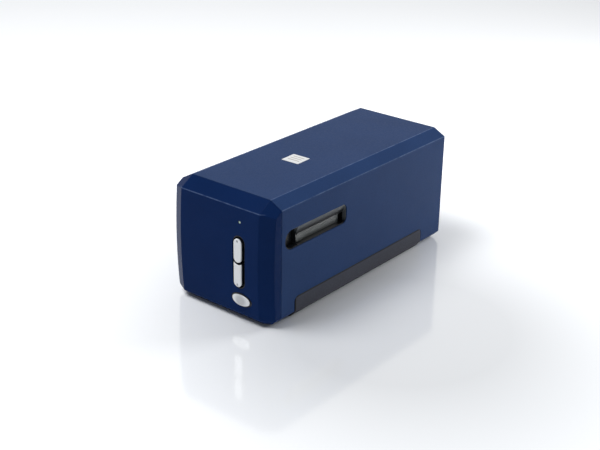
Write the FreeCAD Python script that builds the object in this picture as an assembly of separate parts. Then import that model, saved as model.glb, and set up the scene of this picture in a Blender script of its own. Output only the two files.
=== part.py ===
"""Desktop scanner for 35 mm film strips and slides.

Millimetres. +Z is up, the front face looks along -Y and the film goes in from the right, +X.
The origin is the centre of the footprint, on the surface that the scanner stands on.
"""
import FreeCAD, Part
import math
import os

# Casing: a long sleeve with an eight-sided section
case_length = 272.0
overall_width = 120.0
overall_height = 119.0
rail_proud = 0.4
button_proud = 1.8
foot_height = 2.2
wall = 2.4
top_cut_across = 13.0
top_cut_down = 6.8
base_cut = 5.5
edge_r = 0.8
rim_r = 0.3
fit_gap = 0.15
cut_over = 1.0

half_width = overall_width / 2 - rail_proud
front_y = -(case_length - button_proud) / 2
rear_y = (case_length + button_proud) / 2
arris_z = foot_height + base_cut
floor_z = foot_height + wall
roof_z = overall_height - wall
inner_x = half_width - wall

# Front bezel: bowed face, chamfered all round
face_bow = 2.4
bezel_depth = 14.75
face_top_down = 9.2
face_low_z = 7.0
side_chamfer_back = 7.2
base_chamfer_back = 5.2
bezel_wall = 2.6
seam_gap = 0.25
spigot_depth = 4.0
spigot_wall = 1.6

face_half_width = half_width - top_cut_across
face_top_z = overall_height - face_top_down
edge_y = front_y + face_bow
seam_y = edge_y + bezel_depth

# Button column on the front face
column_in = 22.2
well_width = 14.5
well_over_power = 10.8
well_down = 25.6
well_depth = 3.4
well_rim = 0.7
surround_sink = 0.8
surround_depth = 7.4
surround_flange = 1.6
surround_flange_thick = 1.4
button_width = 9.0
button_gap = 0.35
upper_end_gap = 2.3
lower_end_gap = 2.5
upper_over_middle = 0.5
between_gap = 2.3
button_travel = 0.9
keeper_width = 2.0
keeper_thick = 1.2
keeper_gap = 0.3
keeper_corner_r = 5.0
button_crown = 0.7
dimple_r = 1.1
dimple_depth = 0.35
dimple_in = 4.2
stem_r = 2.0

power_out = 2.2
power_z = 21.8
power_long = 21.8
power_high = 10.6
power_dome = 1.3
power_proud = 0.6
ring_gap = 0.3
ring_wall = 1.1
ring_flange = 1.0

led_out = 0.2
led_down = 13.0
led_r = 1.5
led_flange_r = 2.4
led_flange_thick = 1.0
led_sink = 0.3

column_x = face_half_width - column_in
well_low_z = power_z + well_over_power
well_high_z = face_top_z - well_down
upper_low_z = (well_low_z + well_high_z) / 2 + upper_over_middle
upper_high_z = well_high_z - upper_end_gap
lower_low_z = well_low_z + lower_end_gap
power_x = column_x + power_out
led_x = column_x + led_out
led_z = face_top_z - led_down

# Front button board and its switches
board_thick = 1.6
front_board_back = 14.0
front_board_in = 18.4
front_board_out = 21.6
front_board_low = 13.0
front_board_down = 3.8
switch_size = 6.0
switch_thick = 3.0
plunger_r = 1.7
plunger_bore_gap = 0.1
plunger_in = 0.4
plunger_end_gap = 0.3
post_r = 3.0
post_inset = 3.4

front_board_left = column_x - front_board_in
front_board_right = column_x + front_board_out
front_board_high = face_top_z - front_board_down

# Film slot in each side, measured back from the front of the face
slot_front = 22.0
slot_rear = 110.0
slot_over_middle = 11.9
slot_height = 18.8
slot_end_flat = 0.4
slot_rear_r = 5.6
slot_rim = 0.6
slot_edge_r = 0.2
slot_sink = 0.8
mouth_front = 41.2
mouth_rear = 109.1
mouth_over_slot = 0.6
mouth_height = 9.2
mouth_r = 0.8
funnel_depth = 4.4
funnel_ahead = 5.5
funnel_round_share = 0.41
scoop_depth = 6.4
scoop_slope = 3.2
scoop_back = 1.0
scoop_round_share = 0.47
lip_thick = 1.0
collar_depth = 12.0
collar_wall = 2.0
collar_over_mouth = 4.0
slot_flange = 2.0
slot_flange_thick = 2.0

slot_front_r = (slot_height - slot_end_flat) / 2
slot_low_z = overall_height / 2 + slot_over_middle
slot_high_z = slot_low_z + slot_height
mouth_low_z = slot_low_z + mouth_over_slot
mouth_high_z = mouth_low_z + mouth_height
collar_high_z = mouth_high_z + collar_over_mouth
collar_x = half_width - collar_depth

# Dust flaps, hung from a pin along the top of each mouth
flap_thick = 1.4
flap_gap = 0.3
flap_over_mouth = 0.4
flap_short = 5.2
flap_pad_width = 11.0
flap_pad_corner_r = 3.0
flap_pad_thick = 0.8
flap_pin_r = 0.8
flap_barrel_r = 1.7
pin_over_mouth = 2.0
pin_seat_gap = 0.04
pin_run_gap = 0.08
pin_in_wall = 1.5
spring_wire = 0.5
spring_length = 6.0
spring_leg = 6.5
spring_leg_share = 0.1

flap_low_z = mouth_low_z + flap_over_mouth
pin_z = mouth_high_z + pin_over_mouth

# Film channel
film_y = front_y + (mouth_front + mouth_rear) / 2
guide_plate = 3.0
guide_rail_out = 2.0
upper_guide_end_gap = 9.6
upper_guide_plate = 2.6
upper_guide_gap = 0.2
window_x = 38.0
window_y = 27.0
leaf_thick = 0.4
leaf_width = 5.0
leaf_length = 26.0
leaf_dip = 1.1
leaf_bend = 9.0

upper_guide_half_x = collar_x - upper_guide_end_gap
guide_low_z = mouth_low_z - guide_plate
rail_high_z = mouth_high_z + upper_guide_gap
upper_guide_z = rail_high_z + upper_guide_plate

# Lamp above the film
lamp_half_x = 27.0
lamp_half_y = 21.0
lamp_wall = 2.0
lamp_roof_gap = 11.6
diffuser_thick = 2.0
lamp_board_down = 5.0
lamp_led_size = 3.5
lamp_led_thick = 1.2
lamp_led_step = 10.0

lamp_height = roof_z - lamp_roof_gap - upper_guide_z

# Height of the carriage, which hangs under the film guide
carriage_under_guide = 5.0
carriage_height = 40.0

carriage_high_z = guide_low_z - carriage_under_guide
carriage_low_z = carriage_high_z - carriage_height

# Optics chassis: two end plates joined by beams
chassis_plate = 2.0
chassis_side_gap = 5.2
beam_width = 7.2
beam_height = 10.0
chassis_front_in = 32.1
chassis_rear_in = 43.9
plate_under_carriage = 1.0
leg_width = 6.0
leg_foot = 12.0
leg_foot_thick = 2.0
foot_boss_height = 3.4
foot_boss_r = 4.0

chassis_half_x = inner_x - chassis_side_gap
chassis_front_y = front_y + chassis_front_in
chassis_rear_y = rear_y - chassis_rear_in
plate_low_z = carriage_low_z - plate_under_carriage
beam_high_z = guide_low_z
beam_low_z = beam_high_z - beam_height

# Guide rods
rod_r = 3.0
rod_in = 14.0
rod_over_carriage = 7.0
rod_overhang = 4.0
rod_seat_gap = 0.05
clip_r = 4.6
clip_thick = 0.8
clip_groove_r = 2.4
clip_gap = 0.05

rod_x = chassis_half_x - rod_in
rod_z = carriage_low_z + rod_over_carriage

# Carriage
travel = 30.0
carriage_rod_gap = 12.0
carriage_wall = 2.5
carriage_ahead = 20.0
axis_over_middle = 1.0
arm_length = 20.0
arm_half_z = 6.0
arm_over = 6.0
bush_wall = 1.5
bush_gap = 0.05
bush_length = 8.0
bush_seat_gap = 0.02
front_arm_share = 0.12
rear_arm_share = 0.68
mirror_length = 38.0
mirror_side_gap = 3.5
mirror_thick = 2.0
mirror_ledge = 3.0
lens_over_middle = 7.0
lens_length = 32.0
lens_r = 12.0
lens_wall = 2.0
lens_rim = 1.5
lens_rim_length = 4.0
glass_thick = 3.0
glass_set_back = 2.0
saddle_length = 14.0
saddle_wall = 3.0
strap_thick = 1.2
strap_width = 8.0
sensor_end_room = 7.5
sensor_wall = 2.5
sensor_window_in = 5.0
sensor_window_z = 10.0
sensor_board_in = 4.0
sensor_board_z = 26.0
sensor_chip_in = 2.0
sensor_chip_z = 7.0
sensor_chip_thick = 2.2
stake_r = 1.2
stake_out = 0.8
stake_gap = 0.05
flag_thick = 1.0
flag_reach = 10.0
flag_height = 7.0
flag_in = 2.0
flag_down = 10.0
nut_over_middle = 5.0

carriage_half_x = rod_x - carriage_rod_gap
axis_z = (carriage_low_z + carriage_high_z) / 2 + axis_over_middle
mirror_width = 2 * (carriage_half_x - carriage_wall - mirror_side_gap)
sensor_board_x = 2 * (carriage_half_x - sensor_board_in)
sensor_window_x = sensor_board_x - 2 * sensor_window_in
sensor_chip_x = sensor_window_x - 2 * sensor_chip_in
flag_x = rod_x - flag_in
flag_z = carriage_high_z - flag_down

# Drive
lead = 6.0
thread_starts = 2
groove_depth = 0.5
screw_r = 3.0
journal_r = 2.2
screw_in = 8.0
screw_under_beam = 9.0
screw_thread_start = 2.0
bearing_wall = 1.6
bearing_flange = 1.2
bearing_flange_thick = 1.0
bearing_gap = 0.05
nut_size = 9.0
nut_length = 14.0
nut_gap = 0.06
nut_arm_height = 7.0
gear_module = 0.6
gear_teeth = 40
pinion_teeth = 15
gear_width = 4.0
gear_back = 2.5
gear_hub_r = 4.5
gear_hub_length = 1.6
tooth_backlash = 0.16
tooth_top_share = 0.8
tooth_root_share = 1.25
pressure_angle = math.radians(20)
gear_seat_gap = 0.02
motor_r = 10.0
motor_length = 16.0
motor_flange_half = 17.0
motor_flange_height = 8.0
motor_flange_thick = 1.0
motor_boss_r = 4.0
motor_shaft_r = 1.0
motor_shaft_in = 12.0
shaft_gap = 0.05
home_size = 12.0
home_height = 11.0
home_slot = 3.0
home_leg = 8.0

screw_x = screw_in - chassis_half_x
screw_z = beam_low_z - screw_under_beam

# Main board and sockets
main_board_side_gap = 17.2
main_board_overlap = 93.0
main_board_z = 9.0
standoff_r = 3.0
standoff_inset = 4.0
socket_in = 22.0
usb_width = 12.0
usb_height = 11.0
usb_length = 16.0
usb_hole_width = 8.6
usb_hole_height = 7.9
usb_hole_depth = 9.0
usb_tongue_width = 5.6
usb_tongue_height = 3.2
jack_width = 9.0
jack_height = 11.0
jack_length = 14.0
jack_r = 3.1
jack_depth = 9.5
jack_pin_r = 1.0
socket_gap = 0.3
socket_out = 0.6
cable_width = 18.0
cable_thick = 0.4
cable_x = 8.0
cable_bend_r = 4.0
cable_connector_height = 3.0
cable_connector_depth = 5.0
chip_half = 9.0
chip_thick = 1.8
small_half = 5.0
can_r = 4.0
can_height = 9.0
coil_half = 6.0
coil_height = 5.0

main_board_half_x = inner_x - main_board_side_gap
main_board_front = chassis_rear_y - main_board_overlap
usb_x = main_board_half_x - socket_in
jack_x = -usb_x

# Rear panel
panel_inset = 3.6
panel_thick = 2.2
vent_width = 3.0
vent_height = 26.0
vent_step = 8.0
vent_count = 8
vent_z = 62.0

# Rubber rails along the lower side edges
rail_front = 36.6
rail_rear_in = 34.7
rail_top_z = 22.0
rail_sink = 1.2
rail_end_r = 5.0
rail_gap = 0.12
rail_end_gap = 0.9
rail_edge_r = 0.35
rail_foot_in = 8.0
rail_foot_soft = 1.4

# Screws
screw_shank_r = 1.25
screw_head_r = 2.6
screw_head_thick = 1.5
screw_length = 5.0
screw_hole_gap = 0.03
case_screw_r = 1.5
case_screw_head_r = 3.0
case_screw_head_thick = 2.0
case_screw_length = 20.0
case_post_r = 4.6
case_post_in = 11.2
case_post_split_z = 20.0
case_post_seat_z = 7.0
rear_post_ahead = 24.0
drive_cross = 0.7

case_post_x = inner_x - case_post_in

# Label
label_across = 19.4
label_along = 18.6
label_thick = 0.2
label_x = -0.5
label_back = 108.1
label_corner_r = 0.8
label_turn = 1.5

# Underside vents
tray_vent_length = 40.0
tray_vent_width = 3.0
tray_vent_step = 9.0
tray_vent_count = 6
tray_vent_y = -30.0

origin = FreeCAD.Vector(0, 0, 0)
along_x = FreeCAD.Vector(1, 0, 0)
along_y = FreeCAD.Vector(0, 1, 0)
along_z = FreeCAD.Vector(0, 0, 1)


def at(x, y, z):
    return FreeCAD.Vector(x, y, z)


def block(x0, x1, y0, y1, z0, z1):
    return Part.makeBox(x1 - x0, y1 - y0, z1 - z0, at(x0, y0, z0))


def rod_along_y(radius, y0, y1, x, z):
    return Part.makeCylinder(radius, y1 - y0, at(x, y0, z), along_y)


def rod_along_z(radius, z0, z1, x, y):
    return Part.makeCylinder(radius, z1 - z0, at(x, y, z0), along_z)


def prism(points, travel_vector):
    """Solid swept from a flat outline of straight edges."""
    wire = Part.makePolygon(points + points[:1])
    return Part.Face(wire).extrude(travel_vector)


def on_side(x):
    """Maps outline coordinates to a plane square to X."""
    return lambda u, v: at(x, u, v)


def on_front(y):
    """Maps outline coordinates to a plane square to Y."""
    return lambda u, v: at(u, y, v)


def on_top(z):
    """Maps outline coordinates to a plane square to Z."""
    return lambda u, v: at(u, v, z)


def rounded_wire(place, u0, u1, v0, v1, r0, r1):
    """Rectangle outline with radius r0 at its u0 end and r1 at its u1 end."""
    k = math.sqrt(0.5)
    corners = [
        (u0 + r0, v0 + r0, r0, -1, -1),
        (u1 - r1, v0 + r1, r1, 1, -1),
        (u1 - r1, v1 - r1, r1, 1, 1),
        (u0 + r0, v1 - r0, r0, -1, 1),
    ]
    arcs = []
    for number, (cu, cv, r, su, sv) in enumerate(corners):
        ends = [(cu + su * r, cv), (cu, cv + sv * r)]
        if number % 2 == 0:
            first, last = ends
        else:
            last, first = ends
        middle = (cu + su * r * k, cv + sv * r * k)
        arcs.append((first, middle, last))
    edges = []
    for number, (first, middle, last) in enumerate(arcs):
        edges.append(Part.Arc(place(*first), place(*middle), place(*last)).toShape())
        following = arcs[(number + 1) % 4][0]
        if place(*last).distanceToPoint(place(*following)) > Part.Precision.confusion():
            edges.append(Part.LineSegment(place(*last), place(*following)).toShape())
    return Part.Wire(edges)


def rounded_prism(place, u0, u1, v0, v1, r0, r1, travel_vector):
    return Part.Face(rounded_wire(place, u0, u1, v0, v1, r0, r1)).extrude(travel_vector)


def stadium(y0, y1, x, width, z0, z1):
    """Upright stadium solid on the front face."""
    r = width / 2
    ends = [rod_along_y(r, y0, y1, x, z0 + r), rod_along_y(r, y0, y1, x, z1 - r)]
    return block(x - r, x + r, y0, y1, z0 + r, z1 - r).fuse(ends).removeSplitter()


def oval(y0, y1, x, z, length, height):
    """Elliptical solid on the front face."""
    edge = Part.Ellipse(origin, length / 2, height / 2).toShape()
    solid = Part.Face(Part.Wire(edge)).extrude(along_z * (y1 - y0))
    solid.rotate(origin, along_x, 90)
    solid.translate(at(x, y1, z))
    return solid


def mirrored(shape):
    return shape.mirror(origin, along_x)


def both_sides(shape):
    return [shape, mirrored(shape)]


def group(shapes):
    return Part.makeCompound(shapes)


def save(name, shape):
    solids = shape.Solids
    assert solids, name
    assert all(s.isValid() for s in solids), name
    if len(solids) == 1:
        shape = solids[0]
    shape.exportStep("parts/" + name + ".step")
    return shape


def section_points(inset, y):
    """Corners of the casing's eight-sided section, drawn in by inset, at one y."""
    h = math.hypot(top_cut_across, top_cut_down)
    near = top_cut_across * top_cut_down / h
    inner = near + inset - inset * (top_cut_across + top_cut_down) / h
    across = inner * h / top_cut_down
    down = inner * h / top_cut_across
    low = base_cut - inset * (2 - math.sqrt(2))
    w = half_width - inset
    top = overall_height - inset
    base = foot_height + inset
    right = [(w - low, base), (w, base + low), (w, top - down), (w - across, top)]
    left = [(-x, z) for x, z in reversed(right)]
    return [at(x, y, z) for x, z in right + left]


def casing_prism(inset, y0, y1):
    return prism(section_points(inset, y0), along_y * (y1 - y0))


def casing_sleeve(y0, y1):
    """Wall of the casing, with its long outer edges and its two outer rims rounded."""
    outside = casing_prism(0, y0, y1)
    outside = outside.makeFillet(edge_r, [e for e in outside.Edges if e.BoundBox.YLength > wall])
    rims = [e for e in outside.Edges if e.BoundBox.YLength < Part.Precision.confusion() * 10]
    outside = outside.makeFillet(rim_r, rims)
    return outside.cut(casing_prism(wall, y0 - cut_over, y1 + cut_over))


def casing_ring(outer_inset, inner_inset, y0, y1):
    core = casing_prism(inner_inset, y0 - cut_over, y1 + cut_over)
    return casing_prism(outer_inset, y0, y1).cut(core)


def above(z):
    reach = case_length
    return block(-reach, reach, -reach, reach, z, z + reach)


def below(z):
    reach = case_length
    return block(-reach, reach, -reach, reach, z - reach, z)


def screw(head_point, direction, shank_r, head_r, head_thick, length):
    """Cross-head screw whose head sits on head_point, with its shank along direction."""
    shank = Part.makeCylinder(shank_r, length, head_point, direction)
    head = Part.makeCylinder(head_r, head_thick, head_point, direction * -1)
    body = shank.fuse(head).removeSplitter()
    top = head_point - direction * head_thick
    side = along_x if abs(direction.x) < abs(direction.y) + abs(direction.z) else along_y
    other = direction.cross(side)
    for a, b in ((side, other), (other, side)):
        length_half = head_r * drive_cross
        width_half = length_half / 4
        depth = head_thick / 2
        corners = [top + a * length_half + b * width_half, top - a * length_half + b * width_half,
                   top - a * length_half - b * width_half, top + a * length_half - b * width_half]
        body = body.cut(prism(corners, direction * depth))
    return body


def small_screw(head_point, direction):
    return screw(head_point, direction, screw_shank_r, screw_head_r, screw_head_thick, screw_length)


def pilot(head_point, direction):
    """Hole that a small screw bites in, from where its head sits."""
    radius = screw_shank_r + screw_hole_gap
    start = head_point - direction * cut_over
    return Part.makeCylinder(radius, screw_length + 2 * cut_over, start, direction)


# Places shared by several pieces

def case_post_places():
    front = seam_y + spigot_depth + case_post_r + 2 * seam_gap
    rear = rear_y - rear_post_ahead
    return [(sx * case_post_x, y) for sx in (-1, 1) for y in (front, rear)]


def leg_places():
    x = chassis_half_x - leg_width / 2
    reach = leg_foot / 2 + chassis_plate / 2
    front = chassis_front_y + chassis_plate + reach
    rear = chassis_rear_y - reach
    return [(sx * x, y) for sx in (-1, 1) for y in (front, rear)]


def board_post_places():
    low = front_board_low + post_inset
    high = front_board_high - post_inset
    return [(front_board_left + post_inset, high), (front_board_right - post_inset, high),
            (front_board_left + post_inset, (low + high) / 2), (front_board_right - post_inset, low)]


main_board_rear = rear_y - panel_inset - panel_thick - fit_gap - socket_gap


def standoff_places():
    x = main_board_half_x - standoff_inset
    front = main_board_front + standoff_inset
    rear = main_board_rear - standoff_inset
    return [(sx * x, y) for sx in (-1, 1) for y in (front, rear)]


def guide_screw_places():
    x = upper_guide_half_x - standoff_inset
    front = front_y + mouth_front - guide_rail_out / 2 - screw_head_r / 2
    rear = front_y + mouth_rear + guide_rail_out / 2 + screw_head_r / 2
    return [(sx * x, y) for sx in (-1, 1) for y in (front, rear)]


# Casing

def rail_section(grow):
    """Section of the right rail: side strip, wrap under the edge, flat foot."""
    outer = half_width + rail_proud + grow
    inner = half_width - rail_sink - grow
    low_outer = half_width - base_cut + rail_proud
    foot_x0 = low_outer - rail_foot_in - grow
    foot_x1 = low_outer - rail_foot_soft + grow
    sink_z = foot_height + rail_sink + grow
    sink_x = half_width - base_cut - rail_sink * (math.sqrt(2) - 1) - grow
    return [(outer, arris_z), (outer, rail_top_z + grow), (inner, rail_top_z + grow),
            (inner, arris_z + rail_sink * (math.sqrt(2) - 1)), (sink_x, sink_z),
            (foot_x0, sink_z), (foot_x0, 0), (foot_x1, 0), (low_outer, foot_height / 2)]


def rail_solid(grow, end_grow):
    y0 = front_y + rail_front - end_grow
    y1 = rear_y - rail_rear_in + end_grow
    points = [at(x, y0, z) for x, z in rail_section(grow)]
    body = prism(points, along_y * (y1 - y0))
    reach = rail_end_r * 2 + arris_z
    high = rail_top_z + grow
    ends = rounded_prism(on_side(0), y0, y1, -reach, high, rail_end_r, rail_end_r,
                         along_x * overall_width)
    return body.common(ends)


def make_rubber_rail():
    rail = rail_solid(0, 0)
    outer = half_width + rail_proud
    rim = [e for e in rail.Edges if e.BoundBox.XMin > outer - fit_gap and e.BoundBox.ZMax > arris_z + fit_gap]
    return rail.makeFillet(rail_edge_r, rim)


def slot_outline(x, inset, travel_x):
    r0 = slot_front_r - inset
    r1 = slot_rear_r - inset
    return rounded_prism(on_side(x), front_y + slot_front + inset, front_y + slot_rear - inset,
                         slot_low_z + inset, slot_high_z - inset, r0, r1, along_x * travel_x)


def make_top_cover():
    sleeve = casing_sleeve(seam_y + seam_gap, rear_y)
    lip_room = block(-inner_x, inner_x, seam_y, rear_y + cut_over, arris_z - cut_over, arris_z + wall)
    shell = sleeve.common(above(arris_z)).cut(lip_room)
    inside = casing_prism(wall / 2, seam_y, rear_y)
    posts = []
    for x, y in case_post_places():
        post = rod_along_z(case_post_r, case_post_split_z, overall_height, x, y)
        posts.append(post.common(inside))
    shell = shell.fuse(posts).removeSplitter()
    for x, y in case_post_places():
        reach = case_screw_length + cut_over
        hole_r = case_screw_r + screw_hole_gap
        shell = shell.cut(rod_along_z(hole_r, case_post_seat_z, case_post_seat_z + reach, x, y))
    hole = slot_outline(inner_x - cut_over, -fit_gap, wall + 2 * cut_over)
    rail = rail_solid(rail_gap, rail_end_gap)
    for piece in both_sides(hole) + both_sides(rail):
        shell = shell.cut(piece)
    return shell


def make_bottom_tray():
    tray = casing_sleeve(seam_y + seam_gap, rear_y).common(below(arris_z))
    lip_x1 = inner_x - fit_gap
    lip_x0 = lip_x1 - spigot_wall
    lip_y0 = seam_y + spigot_depth + 2 * fit_gap
    lip_y1 = rear_y - panel_inset - panel_thick - fit_gap
    lip = block(lip_x0, lip_x1, lip_y0, lip_y1, foot_height, arris_z + spigot_depth)
    lip = lip.common(casing_prism(wall / 2, lip_y0 - cut_over, lip_y1 + cut_over))
    additions = both_sides(lip)
    for x, y in case_post_places():
        additions.append(rod_along_z(case_post_r, floor_z - wall / 2, case_post_split_z, x, y))
    for x, y in leg_places():
        additions.append(rod_along_z(foot_boss_r, floor_z - wall / 2, floor_z + foot_boss_height, x, y))
    for x, y in standoff_places():
        additions.append(rod_along_z(standoff_r, floor_z - wall / 2, main_board_z, x, y))
    tray = tray.fuse(additions).removeSplitter()
    for x, y in case_post_places():
        head_r = case_screw_head_r + fit_gap
        clear_r = case_screw_r + fit_gap
        tray = tray.cut(rod_along_z(head_r, 0, case_post_seat_z, x, y))
        tray = tray.cut(rod_along_z(clear_r, 0, case_post_split_z + cut_over, x, y))
    for x, y in leg_places():
        head = at(x, y, floor_z + foot_boss_height + leg_foot_thick)
        tray = tray.cut(pilot(head, along_z * -1))
    for x, y in standoff_places():
        tray = tray.cut(pilot(at(x, y, main_board_z + board_thick), along_z * -1))
    rail = rail_solid(rail_gap, rail_end_gap)
    for piece in both_sides(rail):
        tray = tray.cut(piece)
    first = -(tray_vent_count - 1) / 2
    for number in range(tray_vent_count):
        x = (first + number) * tray_vent_step
        r = tray_vent_width / 2
        vent = rounded_prism(on_top(0), x - r, x + r, tray_vent_y - tray_vent_length / 2,
                             tray_vent_y + tray_vent_length / 2, r, r, along_z * (floor_z + cut_over))
        tray = tray.cut(vent)
    return tray


def bow_y(z, inset=0.0):
    """Y of the bowed face at one height."""
    middle = (face_top_z + face_low_z) / 2
    half = (face_top_z - face_low_z) / 2
    return front_y + inset + face_bow * ((z - middle) / half) ** 2


def bezel_form(inset, y_end):
    """Solid block of the bezel's outside, drawn in by inset."""
    turn_side = math.atan2(side_chamfer_back, half_width - face_half_width) / 2
    rise = overall_height - face_top_z
    turn_top = math.atan2(bezel_depth, rise) / 2
    fall = face_low_z - foot_height
    turn_base = math.atan2(base_chamfer_back, fall) / 2
    x_face = face_half_width - inset * math.tan(turn_side)
    z_top = face_top_z - inset * math.tan(turn_top)
    z_low = face_low_z + inset * math.tan(turn_base)
    y_face = edge_y + inset
    across = half_width - inset - x_face
    back = side_chamfer_back * across / (half_width - face_half_width)
    roof = overall_height - inset
    base = foot_height + inset
    y_roof = y_face + (roof - z_top) * bezel_depth / rise
    y_base = y_face + (z_low - base) * base_chamfer_back / fall
    middle = (z_top + z_low) / 2
    arc = Part.Arc(at(0, y_face, z_low), at(0, front_y + inset, middle), at(0, y_face, z_top))
    y_far = seam_y + bezel_depth
    ring = [at(0, y_face, z_top), at(0, y_roof, roof), at(0, y_far, roof), at(0, y_far, base),
            at(0, y_base, base), at(0, y_face, z_low)]
    edges = [arc.toShape()] + [Part.LineSegment(a, b).toShape() for a, b in zip(ring, ring[1:])]
    outline = Part.Face(Part.Wire(edges))
    centre = outline.copy()
    centre.translate(along_x * -x_face)
    solid = centre.extrude(along_x * (2 * x_face))
    flank = outline.copy()
    flank.translate(along_x * x_face)
    flank = flank.extrude(at(across, back, 0))
    solid = solid.fuse(both_sides(flank)).removeSplitter()
    solid = solid.common(casing_prism(inset, front_y - cut_over, y_end))
    corner_a = at(half_width - top_cut_across, seam_y, overall_height)
    corner_b = at(half_width, seam_y, overall_height - top_cut_down)
    corner_c = at(face_half_width, edge_y, face_top_z)
    normal = (corner_b - corner_a).cross(corner_c - corner_a)
    normal.normalize()
    if normal.z < 0:
        normal = normal * -1
    side_a = (corner_b - corner_a).normalize()
    side_b = normal.cross(side_a)
    centre_point = corner_a - normal * inset
    reach = overall_width
    square = [centre_point + side_a * (sa * reach) + side_b * (sb * reach)
              for sa, sb in ((-1, -1), (1, -1), (1, 1), (-1, 1))]
    beyond = prism(square, normal * reach)
    keep_side = block(0, overall_width, front_y - cut_over, y_end + cut_over, 0, overall_height * 2)
    beyond = beyond.common(keep_side)
    for piece in both_sides(beyond):
        solid = solid.cut(piece)
    return solid


def make_front_bezel():
    outside = bezel_form(0, seam_y)
    outside = outside.makeFillet(edge_r, [e for e in outside.Edges if e.BoundBox.YMin < seam_y - wall])
    rear_rim = [e for e in outside.Edges if e.BoundBox.YMin > seam_y - Part.Precision.confusion() * 10]
    outside = outside.makeFillet(rim_r, rear_rim)
    shell = outside.cut(bezel_form(bezel_wall, seam_y + cut_over))
    ledge_in = wall + fit_gap
    lap = bezel_wall + fit_gap
    spigot = casing_ring(ledge_in, ledge_in + spigot_wall, seam_y - lap, seam_y + spigot_depth)
    post_rear = front_y + front_board_back
    posts = [rod_along_y(post_r, bow_y(z) + bezel_wall / 2, post_rear, x, z)
             for x, z in board_post_places()]
    shell = shell.fuse([spigot] + posts).removeSplitter()
    front = front_y - cut_over
    back = front_y + surround_depth + cut_over
    cuts = [stadium(front, back, column_x, well_width, well_low_z, well_high_z),
            oval(front, back, power_x, power_z, power_outer_long, power_outer_high),
            rod_along_y(led_r + fit_gap, front, back, led_x, led_z)]
    for x, z in board_post_places():
        cuts.append(pilot(at(x, post_rear + board_thick, z), along_y * -1))
    for piece in cuts:
        shell = shell.cut(piece)
    return shell


def make_rear_panel():
    y0 = rear_y - panel_inset - panel_thick
    y1 = rear_y - panel_inset
    panel = casing_prism(wall + fit_gap, y0, y1)
    usb_low = main_board_z + board_thick
    usb = block(usb_x - usb_width / 2 - socket_gap, usb_x + usb_width / 2 + socket_gap,
                y0 - cut_over, y1 + cut_over, usb_low - socket_gap, usb_low + usb_height + socket_gap)
    jack = block(jack_x - jack_width / 2 - socket_gap, jack_x + jack_width / 2 + socket_gap,
                 y0 - cut_over, y1 + cut_over, usb_low - socket_gap, usb_low + jack_height + socket_gap)
    panel = panel.cut(usb).cut(jack)
    first = -(vent_count - 1) / 2
    r = vent_width / 2
    for number in range(vent_count):
        x = (first + number) * vent_step
        panel = panel.cut(stadium(y0 - cut_over, y1 + cut_over, x, vent_width,
                                  vent_z - vent_height / 2 - r, vent_z + vent_height / 2 + r))
    return panel


def make_case_screws():
    screws = []
    for x, y in case_post_places():
        screws.append(screw(at(x, y, case_post_seat_z), along_z, case_screw_r, case_screw_head_r,
                            case_screw_head_thick, case_screw_length))
    return group(screws)


def make_top_label():
    y = front_y + label_back
    z = overall_height
    sticker = rounded_prism(on_top(z), label_x - label_across / 2, label_x + label_across / 2,
                            y - label_along / 2, y + label_along / 2, label_corner_r, label_corner_r,
                            along_z * label_thick)
    sticker.rotate(at(label_x, y, z), along_z, label_turn)
    return sticker


# Buttons and status light

stem_z_upper = (upper_low_z + upper_high_z) / 2
lower_top_centre_z = upper_low_z + button_width / 2
lower_top_r = button_width / 2 + between_gap
lower_high_z = lower_top_centre_z - math.sqrt(lower_top_r ** 2 - (button_width / 2) ** 2)
stem_z_lower = (lower_low_z + lower_high_z) / 2
cap_y = front_y - button_proud
well_floor_y = front_y + surround_sink + well_depth
surround_rear_y = front_y + surround_depth
keeper_y = surround_rear_y + keeper_gap
board_y = front_y + front_board_back
switch_y = board_y - switch_thick
plunger_y = switch_y - button_travel - plunger_end_gap
power_outer_long = power_long + 2 * (ring_gap + ring_wall)
power_outer_high = power_high + 2 * (ring_gap + ring_wall)
power_face_y = bow_y(power_z)
power_cap_y = power_face_y - power_proud


def make_button_surround():
    grow = fit_gap
    y0 = front_y + surround_sink
    body = stadium(y0, surround_rear_y, column_x, well_width - 2 * grow, well_low_z + grow,
                   well_high_z - grow)
    flange_y0 = front_y + bezel_wall + face_bow / 2 + grow
    flange = stadium(flange_y0, flange_y0 + surround_flange_thick, column_x,
                     well_width + 2 * surround_flange, well_low_z - surround_flange,
                     well_high_z + surround_flange)
    flange = flange.cut(power_keep_out())
    body = body.fuse(flange).removeSplitter()
    hole_width = button_width + 2 * button_gap
    hole_low = lower_low_z - button_gap
    hole_high = upper_high_z + button_gap
    rim_width = well_width - 2 * (grow + well_rim)
    rim_low = well_low_z + grow + well_rim
    rim_high = well_high_z - grow - well_rim
    wires = []
    for y, width, low, high in ((y0, rim_width, rim_low, rim_high),
                                (well_floor_y, hole_width + well_rim, hole_low - well_rim / 2,
                                 hole_high + well_rim / 2)):
        r = width / 2
        wires.append(rounded_wire(lambda v, u, yy=y: at(u, yy, v), low, high, column_x - r, column_x + r,
                                  r, r))
    well = Part.makeLoft(wires, True, True)
    body = body.cut(well)
    body = body.cut(stadium(y0 - cut_over, surround_rear_y + cut_over, column_x, hole_width,
                            hole_low, hole_high))
    return body


def power_keep_out():
    """Space that the power button's ring and its flange need behind the face."""
    more = 2 * (ring_flange + fit_gap)
    return oval(front_y, board_y, power_x, power_z, power_outer_long + more, power_outer_high + more)


def crowned(cap, y):
    """Rounds the front rim of a button cap that faces -Y at y."""
    rim = [e for e in cap.Edges
           if all(abs(v.Point.y - y) < Part.Precision.confusion() for v in e.Vertexes)]
    return cap.makeFillet(button_crown, rim)


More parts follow.
